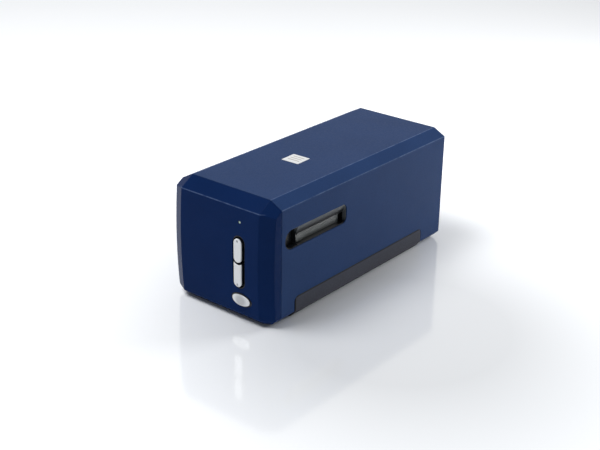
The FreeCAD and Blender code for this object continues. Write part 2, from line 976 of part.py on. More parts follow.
def dimple(z):
    """Ball that leaves a shallow round dimple in the front of a button cap."""
    ball_r = (dimple_r ** 2 + dimple_depth ** 2) / (2 * dimple_depth)
    return Part.makeSphere(ball_r, at(column_x, cap_y + dimple_depth - ball_r, z))


def keeper_plate(z0, z1):
    """Flange behind a button cap that stops it from falling out of the front."""
    half = button_width / 2 + keeper_width
    return rounded_prism(on_front(keeper_y), column_x - half, column_x + half, z0, z1, keeper_corner_r,
                         keeper_corner_r, along_y * keeper_thick)


def make_upper_button():
    cap = crowned(stadium(cap_y, keeper_y, column_x, button_width, upper_low_z, upper_high_z), cap_y)
    cap = cap.cut(dimple(upper_high_z - dimple_in))
    keeper = keeper_plate(upper_low_z + between_gap, upper_high_z + keeper_width)
    stem = rod_along_y(stem_r, keeper_y, plunger_y, column_x, stem_z_upper)
    return cap.fuse([keeper, stem]).removeSplitter()


def make_lower_button():
    r = button_width / 2
    cap = stadium(cap_y, keeper_y, column_x, button_width, lower_low_z, lower_high_z + r)
    bite = rod_along_y(lower_top_r, cap_y - cut_over, keeper_y + cut_over, column_x, lower_top_centre_z)
    cap = crowned(cap.cut(bite), cap_y)
    cap = cap.cut(dimple(lower_low_z + dimple_in))
    keeper = keeper_plate(lower_low_z - keeper_width, lower_top_centre_z - lower_top_r - fit_gap)
    keeper = keeper.cut(power_keep_out())
    stem = rod_along_y(stem_r, keeper_y, plunger_y, column_x, stem_z_lower)
    return cap.fuse([keeper, stem]).removeSplitter()


def make_power_ring():
    outer_long = power_outer_long - 2 * fit_gap
    outer_high = power_outer_high - 2 * fit_gap
    y0 = power_face_y + led_sink
    y1 = surround_rear_y
    ring = oval(y0, y1, power_x, power_z, outer_long, outer_high)
    flange_low_z = power_z - outer_high / 2 - ring_flange
    flange_y0 = bow_y(flange_low_z) + bezel_wall + fit_gap
    flange = oval(flange_y0, flange_y0 + surround_flange_thick, power_x, power_z,
                  outer_long + 2 * ring_flange, outer_high + 2 * ring_flange)
    hole = oval(y0 - cut_over, y1 + cut_over, power_x, power_z, power_long + 2 * ring_gap,
                power_high + 2 * ring_gap)
    return ring.fuse(flange).removeSplitter().cut(hole)


def make_power_button():
    apex_y = power_cap_y - power_dome
    body = oval(apex_y - cut_over, keeper_y, power_x, power_z, power_long, power_high)
    ball_r = (power_long ** 2 / 4 + power_dome ** 2) / (2 * power_dome)
    dome = Part.makeSphere(ball_r, at(power_x, apex_y + ball_r, power_z))
    body = body.common(dome)
    rim = [e for e in body.Edges if e.BoundBox.YMin < power_cap_y + fit_gap
           and e.BoundBox.ZLength > power_high / 2]
    body = body.makeFillet(button_crown, rim)
    keeper = oval(keeper_y, keeper_y + keeper_thick, power_x, power_z, power_long + 2 * ring_gap
                  + ring_wall, power_high + 2 * ring_gap + ring_wall)
    stem = rod_along_y(stem_r, keeper_y, plunger_y, power_x, power_z)
    return body.fuse([keeper, stem]).removeSplitter()


def plunger(x, z):
    return rod_along_y(plunger_r, plunger_y, switch_y + plunger_in, x, z)


def make_tact_switches():
    switches = []
    for x, z in ((column_x, stem_z_upper), (column_x, stem_z_lower), (power_x, power_z)):
        half = switch_size / 2
        body = block(x - half, x + half, switch_y, board_y, z - half, z + half)
        bore_end_y = switch_y + plunger_in + button_travel + plunger_end_gap
        bore = rod_along_y(plunger_r + plunger_bore_gap, switch_y - cut_over, bore_end_y, x, z)
        switches.append(body.cut(bore))
    return group(switches)


def make_button_board():
    board = block(front_board_left, front_board_right, board_y, board_y + board_thick,
                  front_board_low, front_board_high)
    for x, z in board_post_places():
        board = board.cut(pilot(at(x, board_y + board_thick, z), along_y * -1))
    return board


def make_led_lens():
    y0 = bow_y(led_z) + led_sink
    flange_y = bow_y(led_z) + bezel_wall + 2 * fit_gap
    pipe = rod_along_y(led_r, y0, flange_y + led_flange_thick, led_x, led_z)
    flange = rod_along_y(led_flange_r, flange_y, flange_y + led_flange_thick, led_x, led_z)
    return pipe.fuse(flange).removeSplitter()


def make_indicator_led():
    start = bow_y(led_z) + bezel_wall + led_flange_thick + 3 * fit_gap
    bulb = rod_along_y(led_r, start + led_r, board_y, led_x, led_z)
    tip = Part.makeSphere(led_r, at(led_x, start + led_r, led_z))
    rim = rod_along_y(led_flange_r, board_y - led_flange_thick, board_y, led_x, led_z)
    return bulb.fuse([tip, rim]).removeSplitter()


# Film slots and dust flaps

slot_out_x = half_width - slot_sink
slot_in_x = half_width + rail_proud - funnel_depth
cavity_x = slot_in_x - lip_thick
flap_outer_x = cavity_x - flap_gap
pin_x = flap_outer_x - flap_barrel_r
mouth_y0 = front_y + mouth_front
mouth_y1 = front_y + mouth_rear
spring_y1 = mouth_y1 - 2 * flap_gap
spring_y0 = spring_y1 - spring_length


def make_slot_frame(top_of_mouth):
    """Right-hand frame: sunk rim, funnel, lip, and a collar that holds the flap's pin."""
    rim = slot_outline(inner_x - fit_gap, 0, slot_out_x - inner_x + fit_gap)
    flange_x = inner_x - fit_gap
    flange = rounded_prism(on_side(flange_x - slot_flange_thick), front_y + slot_front + slot_flange,
                           front_y + slot_rear + slot_flange, slot_low_z - slot_flange,
                           slot_high_z + slot_flange, slot_front_r, slot_rear_r,
                           along_x * slot_flange_thick)
    collar = block(collar_x, flange_x, mouth_y0 - collar_wall, mouth_y1 + collar_wall,
                   mouth_low_z - collar_wall, collar_high_z + collar_wall)
    frame = rim.fuse([flange, collar, scoop_shell()]).removeSplitter()
    low = slot_low_z + slot_rim
    high = slot_high_z - slot_rim
    rim_wire = rounded_wire(on_side(slot_out_x), mouth_y0 - funnel_ahead, front_y + slot_rear - slot_rim,
                            low, high, (high - low) * funnel_round_share, slot_rear_r - slot_rim)
    mouth_wire = rounded_wire(on_side(slot_in_x), mouth_y0, mouth_y1, mouth_low_z, top_of_mouth,
                              mouth_r, mouth_r)
    funnel = Part.makeLoft([rim_wire, mouth_wire], True, True)
    mouth = rounded_prism(on_side(cavity_x - fit_gap), mouth_y0, mouth_y1, mouth_low_z, top_of_mouth,
                          mouth_r, mouth_r, along_x * (slot_in_x - cavity_x + fit_gap))
    cavity = block(collar_x - cut_over, cavity_x, mouth_y0, mouth_y1, mouth_low_z, collar_high_z)
    pin_hole = rod_along_y(flap_pin_r + pin_seat_gap, mouth_y0 - pin_in_wall, mouth_y1 + pin_in_wall,
                           pin_x, pin_z)
    for piece in (funnel, scoop_hollow(), mouth, cavity, pin_hole):
        frame = frame.cut(piece)
    rim_edges = [e for e in frame.Edges if e.BoundBox.XMin > slot_out_x - Part.Precision.confusion() * 10]
    return frame.makeFillet(slot_edge_r, rim_edges)


def scoop_shell():
    """Wall behind the finger scoop, in front of the collar."""
    floor_x = slot_out_x - scoop_depth - scoop_back
    front_r = slot_height * scoop_round_share
    return rounded_prism(on_side(floor_x), front_y + slot_front + slot_flange, mouth_y0, slot_low_z,
                         slot_high_z, front_r, fit_gap, along_x * (inner_x - floor_x))


def scoop_hollow():
    """Finger scoop in front of the mouth: steep at its front end, with a flat floor."""
    y0 = front_y + slot_front + slot_rim
    y1 = mouth_y0 - lip_thick
    low = slot_low_z + slot_rim
    high = slot_high_z - slot_rim
    rim_wire = rounded_wire(on_side(slot_out_x), y0, y1, low, high, slot_front_r - slot_rim, lip_thick)
    floor_low = low + scoop_slope / 2
    floor_high = high - scoop_slope
    front_r = (floor_high - floor_low) * scoop_round_share
    floor_wire = rounded_wire(on_side(slot_out_x - scoop_depth), y0 + scoop_slope, y1 - collar_wall,
                              floor_low, floor_high, front_r, lip_thick)
    return Part.makeLoft([rim_wire, floor_wire], True, True)


def make_flap():
    """Flap plate with its hinge barrel and a raised round-ended pad at its front end."""
    y0 = mouth_y0 + flap_gap
    y1 = mouth_y1 - flap_gap
    plate = block(flap_outer_x - flap_thick, flap_outer_x, y0, y1 - flap_short, flap_low_z, pin_z)
    barrel = rod_along_y(flap_barrel_r, y0, y1, pin_x, pin_z)
    pad_y = y0 + flap_gap
    pad_r = flap_pad_corner_r
    pad = rounded_prism(lambda u, v: at(flap_outer_x, v, u), flap_low_z + flap_gap, mouth_high_z - flap_gap,
                        pad_y, pad_y + flap_pad_width, pad_r, pad_r, along_x * flap_pad_thick)
    flap = plate.fuse([barrel, pad]).removeSplitter()
    flap = flap.cut(rod_along_y(flap_pin_r + pin_run_gap, y0 - cut_over, y1 + cut_over, pin_x, pin_z))
    room = flap_barrel_r + flap_gap
    spring_room = block(pin_x - room, pin_x + room, spring_y0 - flap_gap, y1 + cut_over,
                        pin_z - room, pin_z + room)
    return flap.cut(spring_room)


def make_flap_pin():
    return rod_along_y(flap_pin_r, mouth_y0 - pin_in_wall, mouth_y1 + pin_in_wall, pin_x, pin_z)


def make_flap_spring():
    inner = flap_pin_r + pin_run_gap
    outer = inner + spring_wire
    coil = rod_along_y(outer, spring_y0, spring_y1, pin_x, pin_z)
    coil = coil.cut(rod_along_y(inner, spring_y0 - cut_over, spring_y1 + cut_over, pin_x, pin_z))
    leg_near = inner + spring_wire * spring_leg_share
    leg_far = outer - spring_wire * spring_leg_share
    leg_down = block(pin_x - leg_far, pin_x - leg_near, spring_y0, spring_y0 + spring_wire,
                     pin_z - spring_leg, pin_z)
    leg_in = block(pin_x - spring_leg, pin_x, spring_y1 - spring_wire, spring_y1,
                   pin_z + leg_near, pin_z + leg_far)
    return coil.fuse([leg_down, leg_in]).removeSplitter()


# Film channel

def make_guide_lower():
    y0 = mouth_y0 - guide_rail_out
    y1 = mouth_y1 + guide_rail_out
    inner = collar_x - fit_gap
    step = screw_head_r + standoff_inset
    plate = block(-inner, inner, y0, y1, guide_low_z, mouth_low_z)
    rails = [block(-inner, inner, y0, mouth_y0, mouth_low_z, rail_high_z),
             block(-inner, inner, mouth_y1, y1, mouth_low_z, rail_high_z)]
    lugs = []
    for x, y in guide_screw_places():
        side = -1 if y < film_y else 1
        edge = y0 if side < 0 else y1
        outer = edge + side * step
        lugs.append(block(x - screw_head_r, x + screw_head_r, min(edge, outer), max(edge, outer),
                          rail_high_z - screw_length - board_thick, rail_high_z))
    guide = plate.fuse(rails + lugs).removeSplitter()
    window = block(-window_x / 2, window_x / 2, film_y - window_y / 2, film_y + window_y / 2,
                   guide_low_z - cut_over, mouth_low_z + cut_over)
    guide = guide.cut(window)
    for x, y in guide_screw_places():
        guide = guide.cut(pilot(at(x, y, upper_guide_z), along_z * -1))
    return guide


def make_guide_upper():
    y0 = mouth_y0 - guide_rail_out
    y1 = mouth_y1 + guide_rail_out
    step = screw_head_r + standoff_inset
    plate = block(-upper_guide_half_x, upper_guide_half_x, y0 - step, y1 + step, rail_high_z, upper_guide_z)
    window = block(-window_x / 2, window_x / 2, film_y - window_y / 2, film_y + window_y / 2,
                   rail_high_z - cut_over, upper_guide_z + cut_over)
    slot_x = leaf_bend / 2 + 2 * fit_gap
    slot_y = leaf_width / 2 + 2 * fit_gap
    slot = block(-slot_x, slot_x, leaf_y() - slot_y, leaf_y() + slot_y, rail_high_z - cut_over,
                 upper_guide_z + cut_over)
    plate = plate.cut(window).cut(slot)
    for x, y in guide_screw_places():
        plate = plate.cut(pilot(at(x, y, upper_guide_z), along_z * -1))
    return plate


def leaf_y():
    return mouth_y1 - leaf_width


def make_detent_spring():
    """Leaf on top of the upper guide whose bent middle dips through a slot into the channel."""
    y = leaf_y() - leaf_width / 2
    half = leaf_length / 2
    bend = leaf_bend / 2
    low = rail_high_z - leaf_dip
    z0 = upper_guide_z
    z1 = z0 + leaf_thick
    outline = [(-half, z0), (-bend, z0), (0, low), (bend, z0), (half, z0),
               (half, z1), (bend, z1), (0, low + leaf_thick), (-bend, z1), (-half, z1)]
    return prism([at(x, y, z) for x, z in outline], along_y * leaf_width)


# Lamp

def make_lamp_housing():
    y0 = film_y - lamp_half_y
    y1 = film_y + lamp_half_y
    z0 = upper_guide_z
    z1 = z0 + lamp_height
    outer = block(-lamp_half_x, lamp_half_x, y0, y1, z0, z1)
    inner = block(-lamp_half_x + lamp_wall, lamp_half_x - lamp_wall, y0 + lamp_wall, y1 - lamp_wall,
                  z0 - cut_over, z1 - lamp_wall)
    return outer.cut(inner)


lamp_board_z = upper_guide_z + lamp_height - lamp_wall - lamp_board_down


def make_lamp_board():
    room = lamp_wall + fit_gap
    board = block(-lamp_half_x + room, lamp_half_x - room, film_y - lamp_half_y + room,
                  film_y + lamp_half_y - room, lamp_board_z, lamp_board_z + board_thick)
    return board


def make_lamp_leds():
    leds = []
    half = lamp_led_size / 2
    for i in (-1, 0, 1):
        for j in (-1, 1):
            x = i * lamp_led_step
            y = film_y + j * lamp_led_step / 2
            leds.append(block(x - half, x + half, y - half, y + half, lamp_board_z - lamp_led_thick,
                              lamp_board_z))
    return group(leds)


def make_lamp_diffuser():
    room = lamp_wall + fit_gap
    return block(-lamp_half_x + room, lamp_half_x - room, film_y - lamp_half_y + room,
                 film_y + lamp_half_y - room, upper_guide_z, upper_guide_z + diffuser_thick)


# Chassis, rods and drive

gear_pitch_r = gear_module * gear_teeth / 2
pinion_pitch_r = gear_module * pinion_teeth / 2
motor_x = screw_x + gear_pitch_r + pinion_pitch_r
motor_z = screw_z
bearing_r = journal_r + bearing_gap + bearing_wall
gear_y = chassis_rear_y + gear_back


def make_chassis():
    pieces = []
    for y0 in (chassis_front_y, chassis_rear_y - chassis_plate):
        pieces.append(block(-chassis_half_x, chassis_half_x, y0, y0 + chassis_plate, plate_low_z,
                            beam_high_z))
    for side in (-1, 1):
        outer = side * chassis_half_x
        inner = outer - side * beam_width
        pieces.append(block(min(outer, inner), max(outer, inner), chassis_front_y, chassis_rear_y,
                            beam_low_z, beam_high_z))
        inner = outer - side * leg_width
        low = floor_z + foot_boss_height
        for y0, y1, foot_y0, foot_y1 in (
                (chassis_front_y, chassis_front_y + chassis_plate, chassis_front_y,
                 chassis_front_y + chassis_plate + leg_foot),
                (chassis_rear_y - chassis_plate, chassis_rear_y,
                 chassis_rear_y - chassis_plate - leg_foot, chassis_rear_y)):
            pieces.append(block(min(outer, inner), max(outer, inner), y0, y1, low, plate_low_z + cut_over))
            pieces.append(block(min(outer, inner), max(outer, inner), foot_y0, foot_y1, low,
                                low + leg_foot_thick))
    chassis = pieces[0].fuse(pieces[1:]).removeSplitter()
    y0 = chassis_front_y - cut_over
    y1 = chassis_rear_y + cut_over
    cuts = [rod_along_y(rod_r + rod_seat_gap, y0, y1, side * rod_x, rod_z) for side in (-1, 1)]
    cuts.append(rod_along_y(bearing_r + bush_seat_gap, y0, y1, screw_x, screw_z))
    cuts.append(rod_along_y(motor_boss_r + fit_gap, chassis_rear_y - chassis_plate - cut_over, y1,
                            motor_x, motor_z))
    for x, y in leg_places():
        head = at(x, y, floor_z + foot_boss_height + leg_foot_thick)
        cuts.append(pilot(head, along_z * -1))
    for x, z in motor_screw_places():
        cuts.append(pilot(at(x, chassis_rear_y - chassis_plate - motor_flange_thick, z), along_y))
    for piece in cuts:
        chassis = chassis.cut(piece)
    return chassis


def motor_screw_places():
    reach = (motor_flange_half - motor_flange_height / 2) * math.sqrt(0.5)
    return [(motor_x + s * reach, motor_z + s * reach) for s in (-1, 1)]


def make_guide_rod():
    y0 = chassis_front_y - rod_overhang
    y1 = chassis_rear_y + rod_overhang
    rod = rod_along_y(rod_r, y0, y1, rod_x, rod_z)
    for y in clip_places():
        ring = rod_along_y(rod_r + cut_over, y - clip_gap, y + clip_thick + clip_gap, rod_x, rod_z)
        core = rod_along_y(clip_groove_r, y - cut_over, y + cut_over + clip_thick, rod_x, rod_z)
        rod = rod.cut(ring.cut(core))
    return rod


def clip_places():
    return [chassis_front_y - clip_thick - clip_gap, chassis_rear_y + clip_gap]


def make_rod_clips():
    clips = []
    for side in (-1, 1):
        for y in clip_places():
            clip = rod_along_y(clip_r, y, y + clip_thick, side * rod_x, rod_z)
            clip = clip.cut(rod_along_y(clip_groove_r + clip_gap, y - cut_over, y + clip_thick + cut_over,
                                        side * rod_x, rod_z))
            half = clip_groove_r * math.sqrt(0.5)
            mouth = block(side * rod_x - half, side * rod_x + half, y - cut_over,
                          y + clip_thick + cut_over, rod_z, rod_z + clip_r + cut_over)
            clips.append(clip.cut(mouth))
    return group(clips)


def involute(angle):
    return math.tan(angle) - angle


def toothed_wheel(teeth, x, z, y0, y1, turn):
    pitch_r = gear_module * teeth / 2
    base_r = pitch_r * math.cos(pressure_angle)
    tip_r = pitch_r + gear_module * tooth_top_share
    root_r = pitch_r - gear_module * tooth_root_share
    half_pitch = math.pi / (2 * teeth) - tooth_backlash / (2 * pitch_r)
    flank = []
    steps = 5
    start_r = max(base_r, root_r)
    for step in range(steps + 1):
        r = start_r + (tip_r - start_r) * step / steps
        angle = math.acos(min(1.0, base_r / r))
        flank.append((r, half_pitch + involute(pressure_angle) - involute(angle)))
    if root_r < start_r:
        flank.insert(0, (root_r, flank[0][1]))
    points = []
    for tooth in range(teeth):
        middle = turn + 2 * math.pi * tooth / teeth
        for r, half in flank:
            points.append((r, middle - half))
        for r, half in reversed(flank):
            points.append((r, middle + half))
    outline = [at(x + r * math.cos(a), y0, z + r * math.sin(a)) for r, a in points]
    return prism(outline, along_y * (y1 - y0))


def make_drive_gear():
    gear = toothed_wheel(gear_teeth, screw_x, screw_z, gear_y, gear_y + gear_width, 0.0)
    hub = rod_along_y(gear_hub_r, gear_y + gear_width - fit_gap, gear_y + gear_width + gear_hub_length,
                      screw_x, screw_z)
    gear = gear.fuse(hub).removeSplitter()
    return gear.cut(rod_along_y(journal_r + gear_seat_gap, gear_y - cut_over,
                                gear_y + gear_width + gear_hub_length + cut_over, screw_x, screw_z))


def make_motor_pinion():
    shaft_y0 = chassis_rear_y - chassis_plate - motor_shaft_in
    wheel = toothed_wheel(pinion_teeth, motor_x, motor_z, gear_y, gear_y + gear_width, 0.0)
    shaft = rod_along_y(motor_shaft_r, shaft_y0, gear_y + gear_width + cut_over, motor_x, motor_z)
    return wheel.fuse(shaft).removeSplitter()


def make_lead_screw():
    y0 = chassis_front_y - clip_thick
    thread_y0 = chassis_front_y + chassis_plate + screw_thread_start
    thread_y1 = chassis_rear_y - chassis_plate - screw_thread_start
    y1 = gear_y + gear_width + gear_hub_length + clip_thick
    outline = [at(0, y0, 0), at(journal_r, y0, 0), at(journal_r, thread_y0, 0), at(screw_r, thread_y0, 0)]
    groove_pitch = lead / thread_starts
    grooves = int((thread_y1 - thread_y0) / groove_pitch) - 1
    for number in range(grooves):
        y = thread_y0 + (number + 0.5) * groove_pitch
        outline.append(at(screw_r, y, 0))
        outline.append(at(screw_r - groove_depth, y + groove_depth, 0))
        outline.append(at(screw_r, y + 2 * groove_depth, 0))
    outline += [at(screw_r, thread_y1, 0), at(journal_r, thread_y1, 0), at(journal_r, y1, 0), at(0, y1, 0)]
    face = Part.Face(Part.makePolygon(outline + outline[:1]))
    screw_body = face.revolve(origin, along_y, 360)
    screw_body.translate(at(screw_x, 0, screw_z))
    return screw_body


def make_screw_bearings():
    bearings = []
    for y0, side in ((chassis_front_y, 1), (chassis_rear_y - chassis_plate, -1)):
        sleeve = rod_along_y(bearing_r, y0, y0 + chassis_plate, screw_x, screw_z)
        flange_y = y0 + chassis_plate if side > 0 else y0 - bearing_flange_thick
        flange = rod_along_y(bearing_r + bearing_flange, flange_y, flange_y + bearing_flange_thick,
                             screw_x, screw_z)
        bore = rod_along_y(journal_r + bearing_gap, y0 - 2 * cut_over, y0 + chassis_plate + 2 * cut_over,
                           screw_x, screw_z)
        bearings.append(sleeve.fuse(flange).removeSplitter().cut(bore))
    return group(bearings)


def make_stepper_motor():
    y1 = chassis_rear_y - chassis_plate
    can = rod_along_y(motor_r, y1 - motor_length, y1 - motor_flange_thick, motor_x, motor_z)
    boss = rod_along_y(motor_boss_r, y1 - motor_flange_thick - cut_over, y1 + chassis_plate / 2,
                       motor_x, motor_z)
    half = motor_flange_height / 2
    ears = rounded_prism(lambda u, v: at(v, y1 - motor_flange_thick, u), motor_z - motor_flange_half,
                         motor_z + motor_flange_half, motor_x - half, motor_x + half, half, half,
                         along_y * motor_flange_thick)
    ears.rotate(at(motor_x, y1, motor_z), along_y, 45)
    disc = rod_along_y(motor_r, y1 - motor_flange_thick, y1, motor_x, motor_z)
    motor = can.fuse([boss, ears, disc]).removeSplitter()
    bore = rod_along_y(motor_shaft_r + shaft_gap, y1 - motor_shaft_in - shaft_gap,
                       y1 + chassis_plate, motor_x, motor_z)
    motor = motor.cut(bore)
    for x, z in motor_screw_places():
        motor = motor.cut(pilot(at(x, y1 - motor_flange_thick, z), along_y))
    return motor


def make_home_sensor():
    y0 = chassis_front_y + chassis_plate
    half = home_size / 2
    low = flag_z - home_height / 2
    body = block(flag_x - half, flag_x + half, y0, y0 + home_leg, low, low + home_height)
    slot = block(flag_x - home_slot / 2, flag_x + home_slot / 2, y0 + home_leg / 4, y0 + home_leg + cut_over,
                 low - cut_over, low + home_height + cut_over)
    return body.cut(slot)


# Carriage

mirror_y = film_y - travel / 2
carriage_y0 = mirror_y - carriage_ahead
sensor_y = chassis_rear_y - chassis_plate - motor_length - travel - sensor_end_room
carriage_y1 = sensor_y + sensor_wall
carriage_length = carriage_y1 - carriage_y0
front_arm_y = carriage_y0 + front_arm_share * carriage_length
rear_arm_y = carriage_y0 + rear_arm_share * carriage_length
bush_r = rod_r + bush_gap + bush_wall
light_path_middle = (mirror_y + sensor_y) / 2
lens_y = light_path_middle + lens_over_middle - lens_length / 2
saddle_y = lens_y + (lens_length - saddle_length) / 2
nut_y = light_path_middle + nut_over_middle


def make_carriage_body():
    x = carriage_half_x
    outer = block(-x, x, carriage_y0, carriage_y1, carriage_low_z, carriage_high_z)
    inner = block(-x + carriage_wall, x - carriage_wall, carriage_y0 + carriage_wall,
                  sensor_y, carriage_low_z + carriage_wall,
                  carriage_high_z + cut_over)
    body = outer.cut(inner)
    pieces = []
    for side in (-1, 1):
        for y in (front_arm_y, rear_arm_y):
            far = side * (rod_x + arm_over)
            near = side * (x - carriage_wall / 2)
            pieces.append(block(min(far, near), max(far, near), y, y + arm_length,
                                rod_z - arm_half_z, rod_z + arm_half_z))
    saddle_half = lens_r + saddle_wall
    pieces.append(block(-saddle_half, saddle_half, saddle_y, saddle_y + saddle_length,
                        carriage_low_z + carriage_wall / 2, axis_z))
    for x_stake, z_stake in stake_places():
        pieces.append(rod_along_y(stake_r, sensor_y + sensor_wall / 2,
                                  carriage_y1 + board_thick + stake_out, x_stake, z_stake))
    pieces.append(mirror_seat())
    nut_half = nut_size / 2
    arm_half = nut_arm_height / 2
    pieces.append(block(screw_x + nut_half + bush_wall, -x + carriage_wall / 2, nut_y,
                        nut_y + nut_length, screw_z - arm_half, screw_z + arm_half))
    pieces.append(block(screw_x - nut_half - bush_wall, screw_x + nut_half + 2 * bush_wall, nut_y,
                        nut_y + nut_length, screw_z - nut_half - bush_wall, screw_z + nut_half + bush_wall))
    sensor_end_y = chassis_front_y + chassis_plate + home_leg
    blade_y = sensor_end_y - home_leg / 2
    tab_y = sensor_end_y + carriage_wall / 2
    blade_x = flag_x + flag_thick / 2
    flag_low = flag_z - flag_height / 2
    flag_high = flag_z + flag_height / 2
    pieces.append(block(x - carriage_wall / 2, blade_x, tab_y, blade_y + flag_reach, flag_low, flag_high))
    pieces.append(block(blade_x - flag_thick, blade_x, blade_y, blade_y + flag_reach, flag_low, flag_high))
    body = body.fuse(pieces).removeSplitter()
    cuts = []
    for side in (-1, 1):
        cuts.append(rod_along_y(bush_r + bush_seat_gap, front_arm_y - cut_over,
                                rear_arm_y + arm_length + cut_over, side * rod_x, rod_z))
    cuts.append(rod_along_y(lens_r + fit_gap / 2, saddle_y - cut_over, saddle_y + saddle_length + cut_over,
                            0, axis_z))
    cuts.append(block(-sensor_window_x / 2, sensor_window_x / 2, sensor_y - cut_over,
                      sensor_y + sensor_wall + cut_over, axis_z - sensor_window_z / 2,
                      axis_z + sensor_window_z / 2))
    rim_r0 = lens_r + lens_rim + fit_gap
    cuts.append(rod_along_y(rim_r0, lens_y - fit_gap, saddle_y, 0, axis_z))
    cuts.append(rod_along_y(rim_r0, saddle_y + saddle_length, lens_y + lens_length + fit_gap, 0, axis_z))
    ear_y0 = saddle_y + (saddle_length - strap_width) / 2 - fit_gap
    ear_y1 = ear_y0 + strap_width + 2 * fit_gap
    ear = saddle_half + fit_gap
    cuts.append(block(-ear, ear, ear_y0, ear_y1, axis_z, carriage_high_z + cut_over))
    fit = nut_half + bush_seat_gap
    cuts.append(block(screw_x - fit, screw_x + fit, nut_y - cut_over, nut_y + nut_length + cut_over,
                      screw_z - fit, screw_z + fit))
    for piece in cuts:
        body = body.cut(piece)
    return body


def mirror_plane_points(width, back, thick):
    """Outline of a 45 degree slab behind the mirror's reflecting face."""
    half = mirror_length / 2 * math.sqrt(0.5)
    shift = back * math.sqrt(0.5)
    deep = (back + thick) * math.sqrt(0.5)
    x = -width / 2
    return [at(x, mirror_y - half - shift, axis_z + half - shift),
            at(x, mirror_y + half - shift, axis_z - half - shift),
            at(x, mirror_y + half - deep, axis_z - half - deep),
            at(x, mirror_y - half - deep, axis_z + half - deep)]


def mirror_seat():
    """Ledge at each side wall that the mirror lies on."""
    width = 2 * carriage_half_x - carriage_wall
    seat = prism(mirror_plane_points(width, mirror_thick, mirror_ledge), along_x * width)
    inside = block(-carriage_half_x + carriage_wall / 2, carriage_half_x - carriage_wall / 2,
                   carriage_y0 + carriage_wall / 2, carriage_y1, carriage_low_z + carriage_wall / 2,
                   carriage_high_z - carriage_wall)
    return seat.common(inside)


def make_fold_mirror():
    return prism(mirror_plane_points(mirror_width, 0, mirror_thick), along_x * mirror_width)


def make_rod_bushes():
    bushes = []
    for side in (-1, 1):
        for y in (front_arm_y, rear_arm_y):
            for start in (y, y + arm_length - bush_length):
                ring = rod_along_y(bush_r, start, start + bush_length, side * rod_x, rod_z)
                bushes.append(ring.cut(rod_along_y(rod_r + bush_gap, start - cut_over,
                                                   start + bush_length + cut_over, side * rod_x, rod_z)))
    return group(bushes)


def make_drive_nut():
    half = nut_size / 2
    nut = block(screw_x - half, screw_x + half, nut_y, nut_y + nut_length, screw_z - half, screw_z + half)
    return nut.cut(rod_along_y(screw_r + nut_gap, nut_y - cut_over, nut_y + nut_length + cut_over,
                               screw_x, screw_z))


def make_lens_barrel():
    barrel = rod_along_y(lens_r, lens_y, lens_y + lens_length, 0, axis_z)
    rims = [rod_along_y(lens_r + lens_rim, lens_y, lens_y + lens_rim_length, 0, axis_z),
            rod_along_y(lens_r + lens_rim / 2, lens_y + lens_length - lens_rim_length,
                        lens_y + lens_length, 0, axis_z)]
    barrel = barrel.fuse(rims).removeSplitter()
    bore = rod_along_y(lens_r - lens_wall, lens_y - cut_over, lens_y + lens_length + cut_over, 0, axis_z)
    return barrel.cut(bore)


def make_lens_glass():
    """Two biconvex elements, one near each end of the barrel."""
    glasses = []
    r = lens_r - lens_wall - bush_seat_gap
    ball_r = (r ** 2 + (glass_thick / 2) ** 2) / glass_thick
    inset = glass_set_back + glass_thick
    for middle in (lens_y + inset, lens_y + lens_length - inset):
        disc = rod_along_y(r, middle - glass_thick, middle + glass_thick, 0, axis_z)
        reach = ball_r - glass_thick
        for side in (-1, 1):
            ball = Part.makeSphere(ball_r, at(0, middle + side * reach, axis_z))
            disc = disc.common(ball)
        glasses.append(disc)
    return group(glasses)


def make_lens_clamp():
    y0 = saddle_y + (saddle_length - strap_width) / 2
    y1 = y0 + strap_width
    inner_r = lens_r + fit_gap / 2
    outer_r = inner_r + strap_thick
    arch = rod_along_y(outer_r, y0, y1, 0, axis_z)
    legs = block(-outer_r, outer_r, y0, y1, axis_z, axis_z + strap_thick)
    ears = block(-lens_r - saddle_wall, lens_r + saddle_wall, y0, y1, axis_z, axis_z + strap_thick)
    strap = arch.fuse([legs, ears]).removeSplitter()
    strap = strap.cut(rod_along_y(inner_r, y0 - cut_over, y1 + cut_over, 0, axis_z))
    return strap.common(above(axis_z))


def stake_places():
    x = sensor_board_x / 2 - post_inset
    z = sensor_board_z / 2 - post_inset
    return [(-x, axis_z - z), (x, axis_z + z)]


def make_sensor_board():
    y0 = carriage_y1
    y1 = y0 + board_thick
    board = block(-sensor_board_x / 2, sensor_board_x / 2, y0, y1, axis_z - sensor_board_z / 2,
                  axis_z + sensor_board_z / 2)
    for x, z in stake_places():
        board = board.cut(rod_along_y(stake_r + stake_gap, y0 - cut_over, y1 + cut_over, x, z))
    return board


def make_image_sensor():
    y1 = carriage_y1
    return block(-sensor_chip_x / 2, sensor_chip_x / 2, y1 - sensor_chip_thick, y1,
                 axis_z - sensor_chip_z / 2, axis_z + sensor_chip_z / 2)


# Electronics

board_top_z = main_board_z + board_thick
socket_rear_y = rear_y - panel_inset + socket_out


def make_main_board():
    board = block(-main_board_half_x, main_board_half_x, main_board_front, main_board_rear,
                  main_board_z, board_top_z)
    for x, y in standoff_places():
        board = board.cut(pilot(at(x, y, board_top_z), along_z * -1))
    for x, y in case_post_places():
        board = board.cut(rod_along_z(case_post_r + fit_gap, main_board_z - cut_over, board_top_z + cut_over,
                                      x, y))
    for x, y in leg_places():
        half_x = leg_width / 2 + fit_gap
        half_y = (leg_foot + chassis_plate) / 2 + fit_gap
        board = board.cut(block(x - half_x, x + half_x, y - half_y, y + half_y, main_board_z - cut_over,
                                board_top_z + cut_over))
    return board


